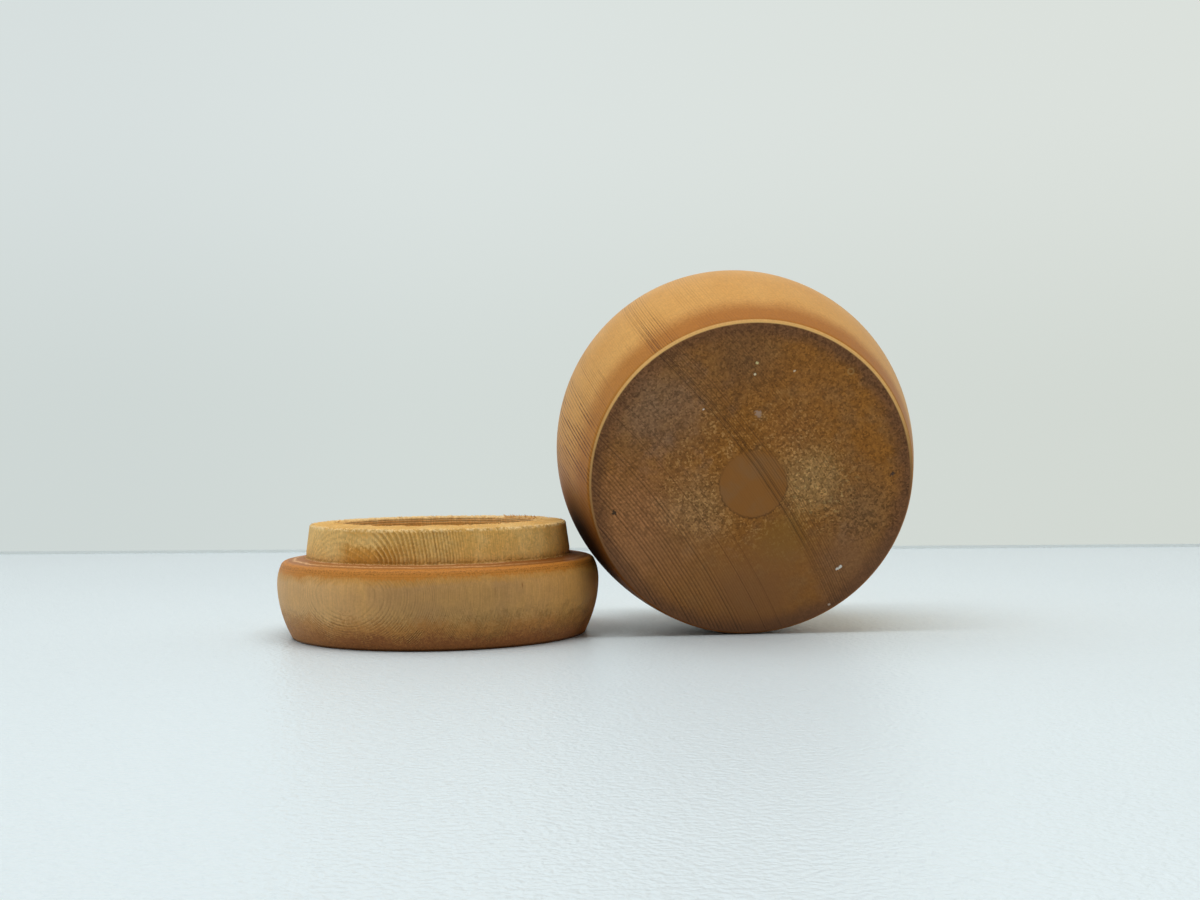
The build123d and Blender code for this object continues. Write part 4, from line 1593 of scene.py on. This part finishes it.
def build_lamps(stage):
    """A strip lamp overhead, in the plane of the leaning base, and a wide panel."""
    strip = Vector(stage.strip_place)
    strip.y += JAR_PLACE.y - (strip.z - JAR_PLACE.z) * JAR_AXIS.z / JAR_AXIS.y
    add_lamp("strip", stage.strip_width, stage.strip_depth, stage.strip_power, strip)
    add_lamp("panel", stage.panel_width, stage.panel_depth, stage.panel_power, stage.panel_place)


# Width of the camera's sensor, in millimetres, and the nearest that it sees, in metres
SENSOR_WIDTH = 36.0
NEAREST = 10.0 * MM


def build_camera(stage):
    """The camera at the picture's own angle."""
    lens = bpy.data.cameras.new("camera")
    lens.sensor_fit = "HORIZONTAL"
    lens.sensor_width = SENSOR_WIDTH
    lens.lens = SENSOR_WIDTH * stage.focal_pixels / stage.picture_width
    lens.clip_start = NEAREST
    camera = bpy.data.objects.new("camera", lens)
    turn = Matrix.Rotation(-stage.yaw, 3, "Z") @ Matrix.Rotation(math.pi / 2 - stage.pitch, 3, "X")
    camera.rotation_euler = (turn @ Matrix.Rotation(-stage.roll, 3, "Z")).to_euler()
    camera.location = stage.camera_place
    bpy.context.scene.collection.objects.link(camera)
    bpy.context.scene.camera = camera


class BuildStage(bpy.types.Operator):
    """Sets up the table, the backdrop, the lamps and the camera"""

    bl_idname = "turned_box.build_stage"
    bl_label = "Build Stage"

    def execute(self, context):
        stage = context.scene.turned_stage
        build_floor(stage)
        build_world(stage)
        build_lamps(stage)
        build_camera(stage)
        context.scene.view_settings.view_transform = "Standard"
        return {"FINISHED"}


# Add-on


class TurnedBoxPanel(bpy.types.Panel):
    """Lists the box's operators in the sidebar"""

    bl_idname = "VIEW3D_PT_turned_box"
    bl_label = "Turned Box"
    bl_space_type = "VIEW_3D"
    bl_region_type = "UI"
    bl_category = "Turned Box"

    def draw(self, context):
        for operator in OPERATORS:
            self.layout.operator(operator.bl_idname)


SETTINGS = {
    "turned_jar": JarSizes,
    "turned_lid": LidSizes,
    "turned_wood": WoodColours,
    "turned_stage": StageSettings,
}
OPERATORS = (BuildJar, BuildLid, BuildTornFibres, BuildStage)
CLASSES = (*SETTINGS.values(), *OPERATORS, TurnedBoxPanel)


def register():
    """Registers the classes and hangs the settings on the scene."""
    for kind in CLASSES:
        bpy.utils.register_class(kind)
    for name, kind in SETTINGS.items():
        setattr(bpy.types.Scene, name, PointerProperty(type=kind))


def unregister():
    """Takes the settings and the classes away again."""
    for name in SETTINGS:
        delattr(bpy.types.Scene, name)
    for kind in reversed(CLASSES):
        bpy.utils.unregister_class(kind)


def main():
    """Builds the box and its stage."""
    register()
    bpy.ops.turned_box.build_jar()
    bpy.ops.turned_box.build_lid()
    bpy.ops.turned_box.build_torn_fibres()
    bpy.ops.turned_box.build_stage()


if __name__ == "__main__":
    main()
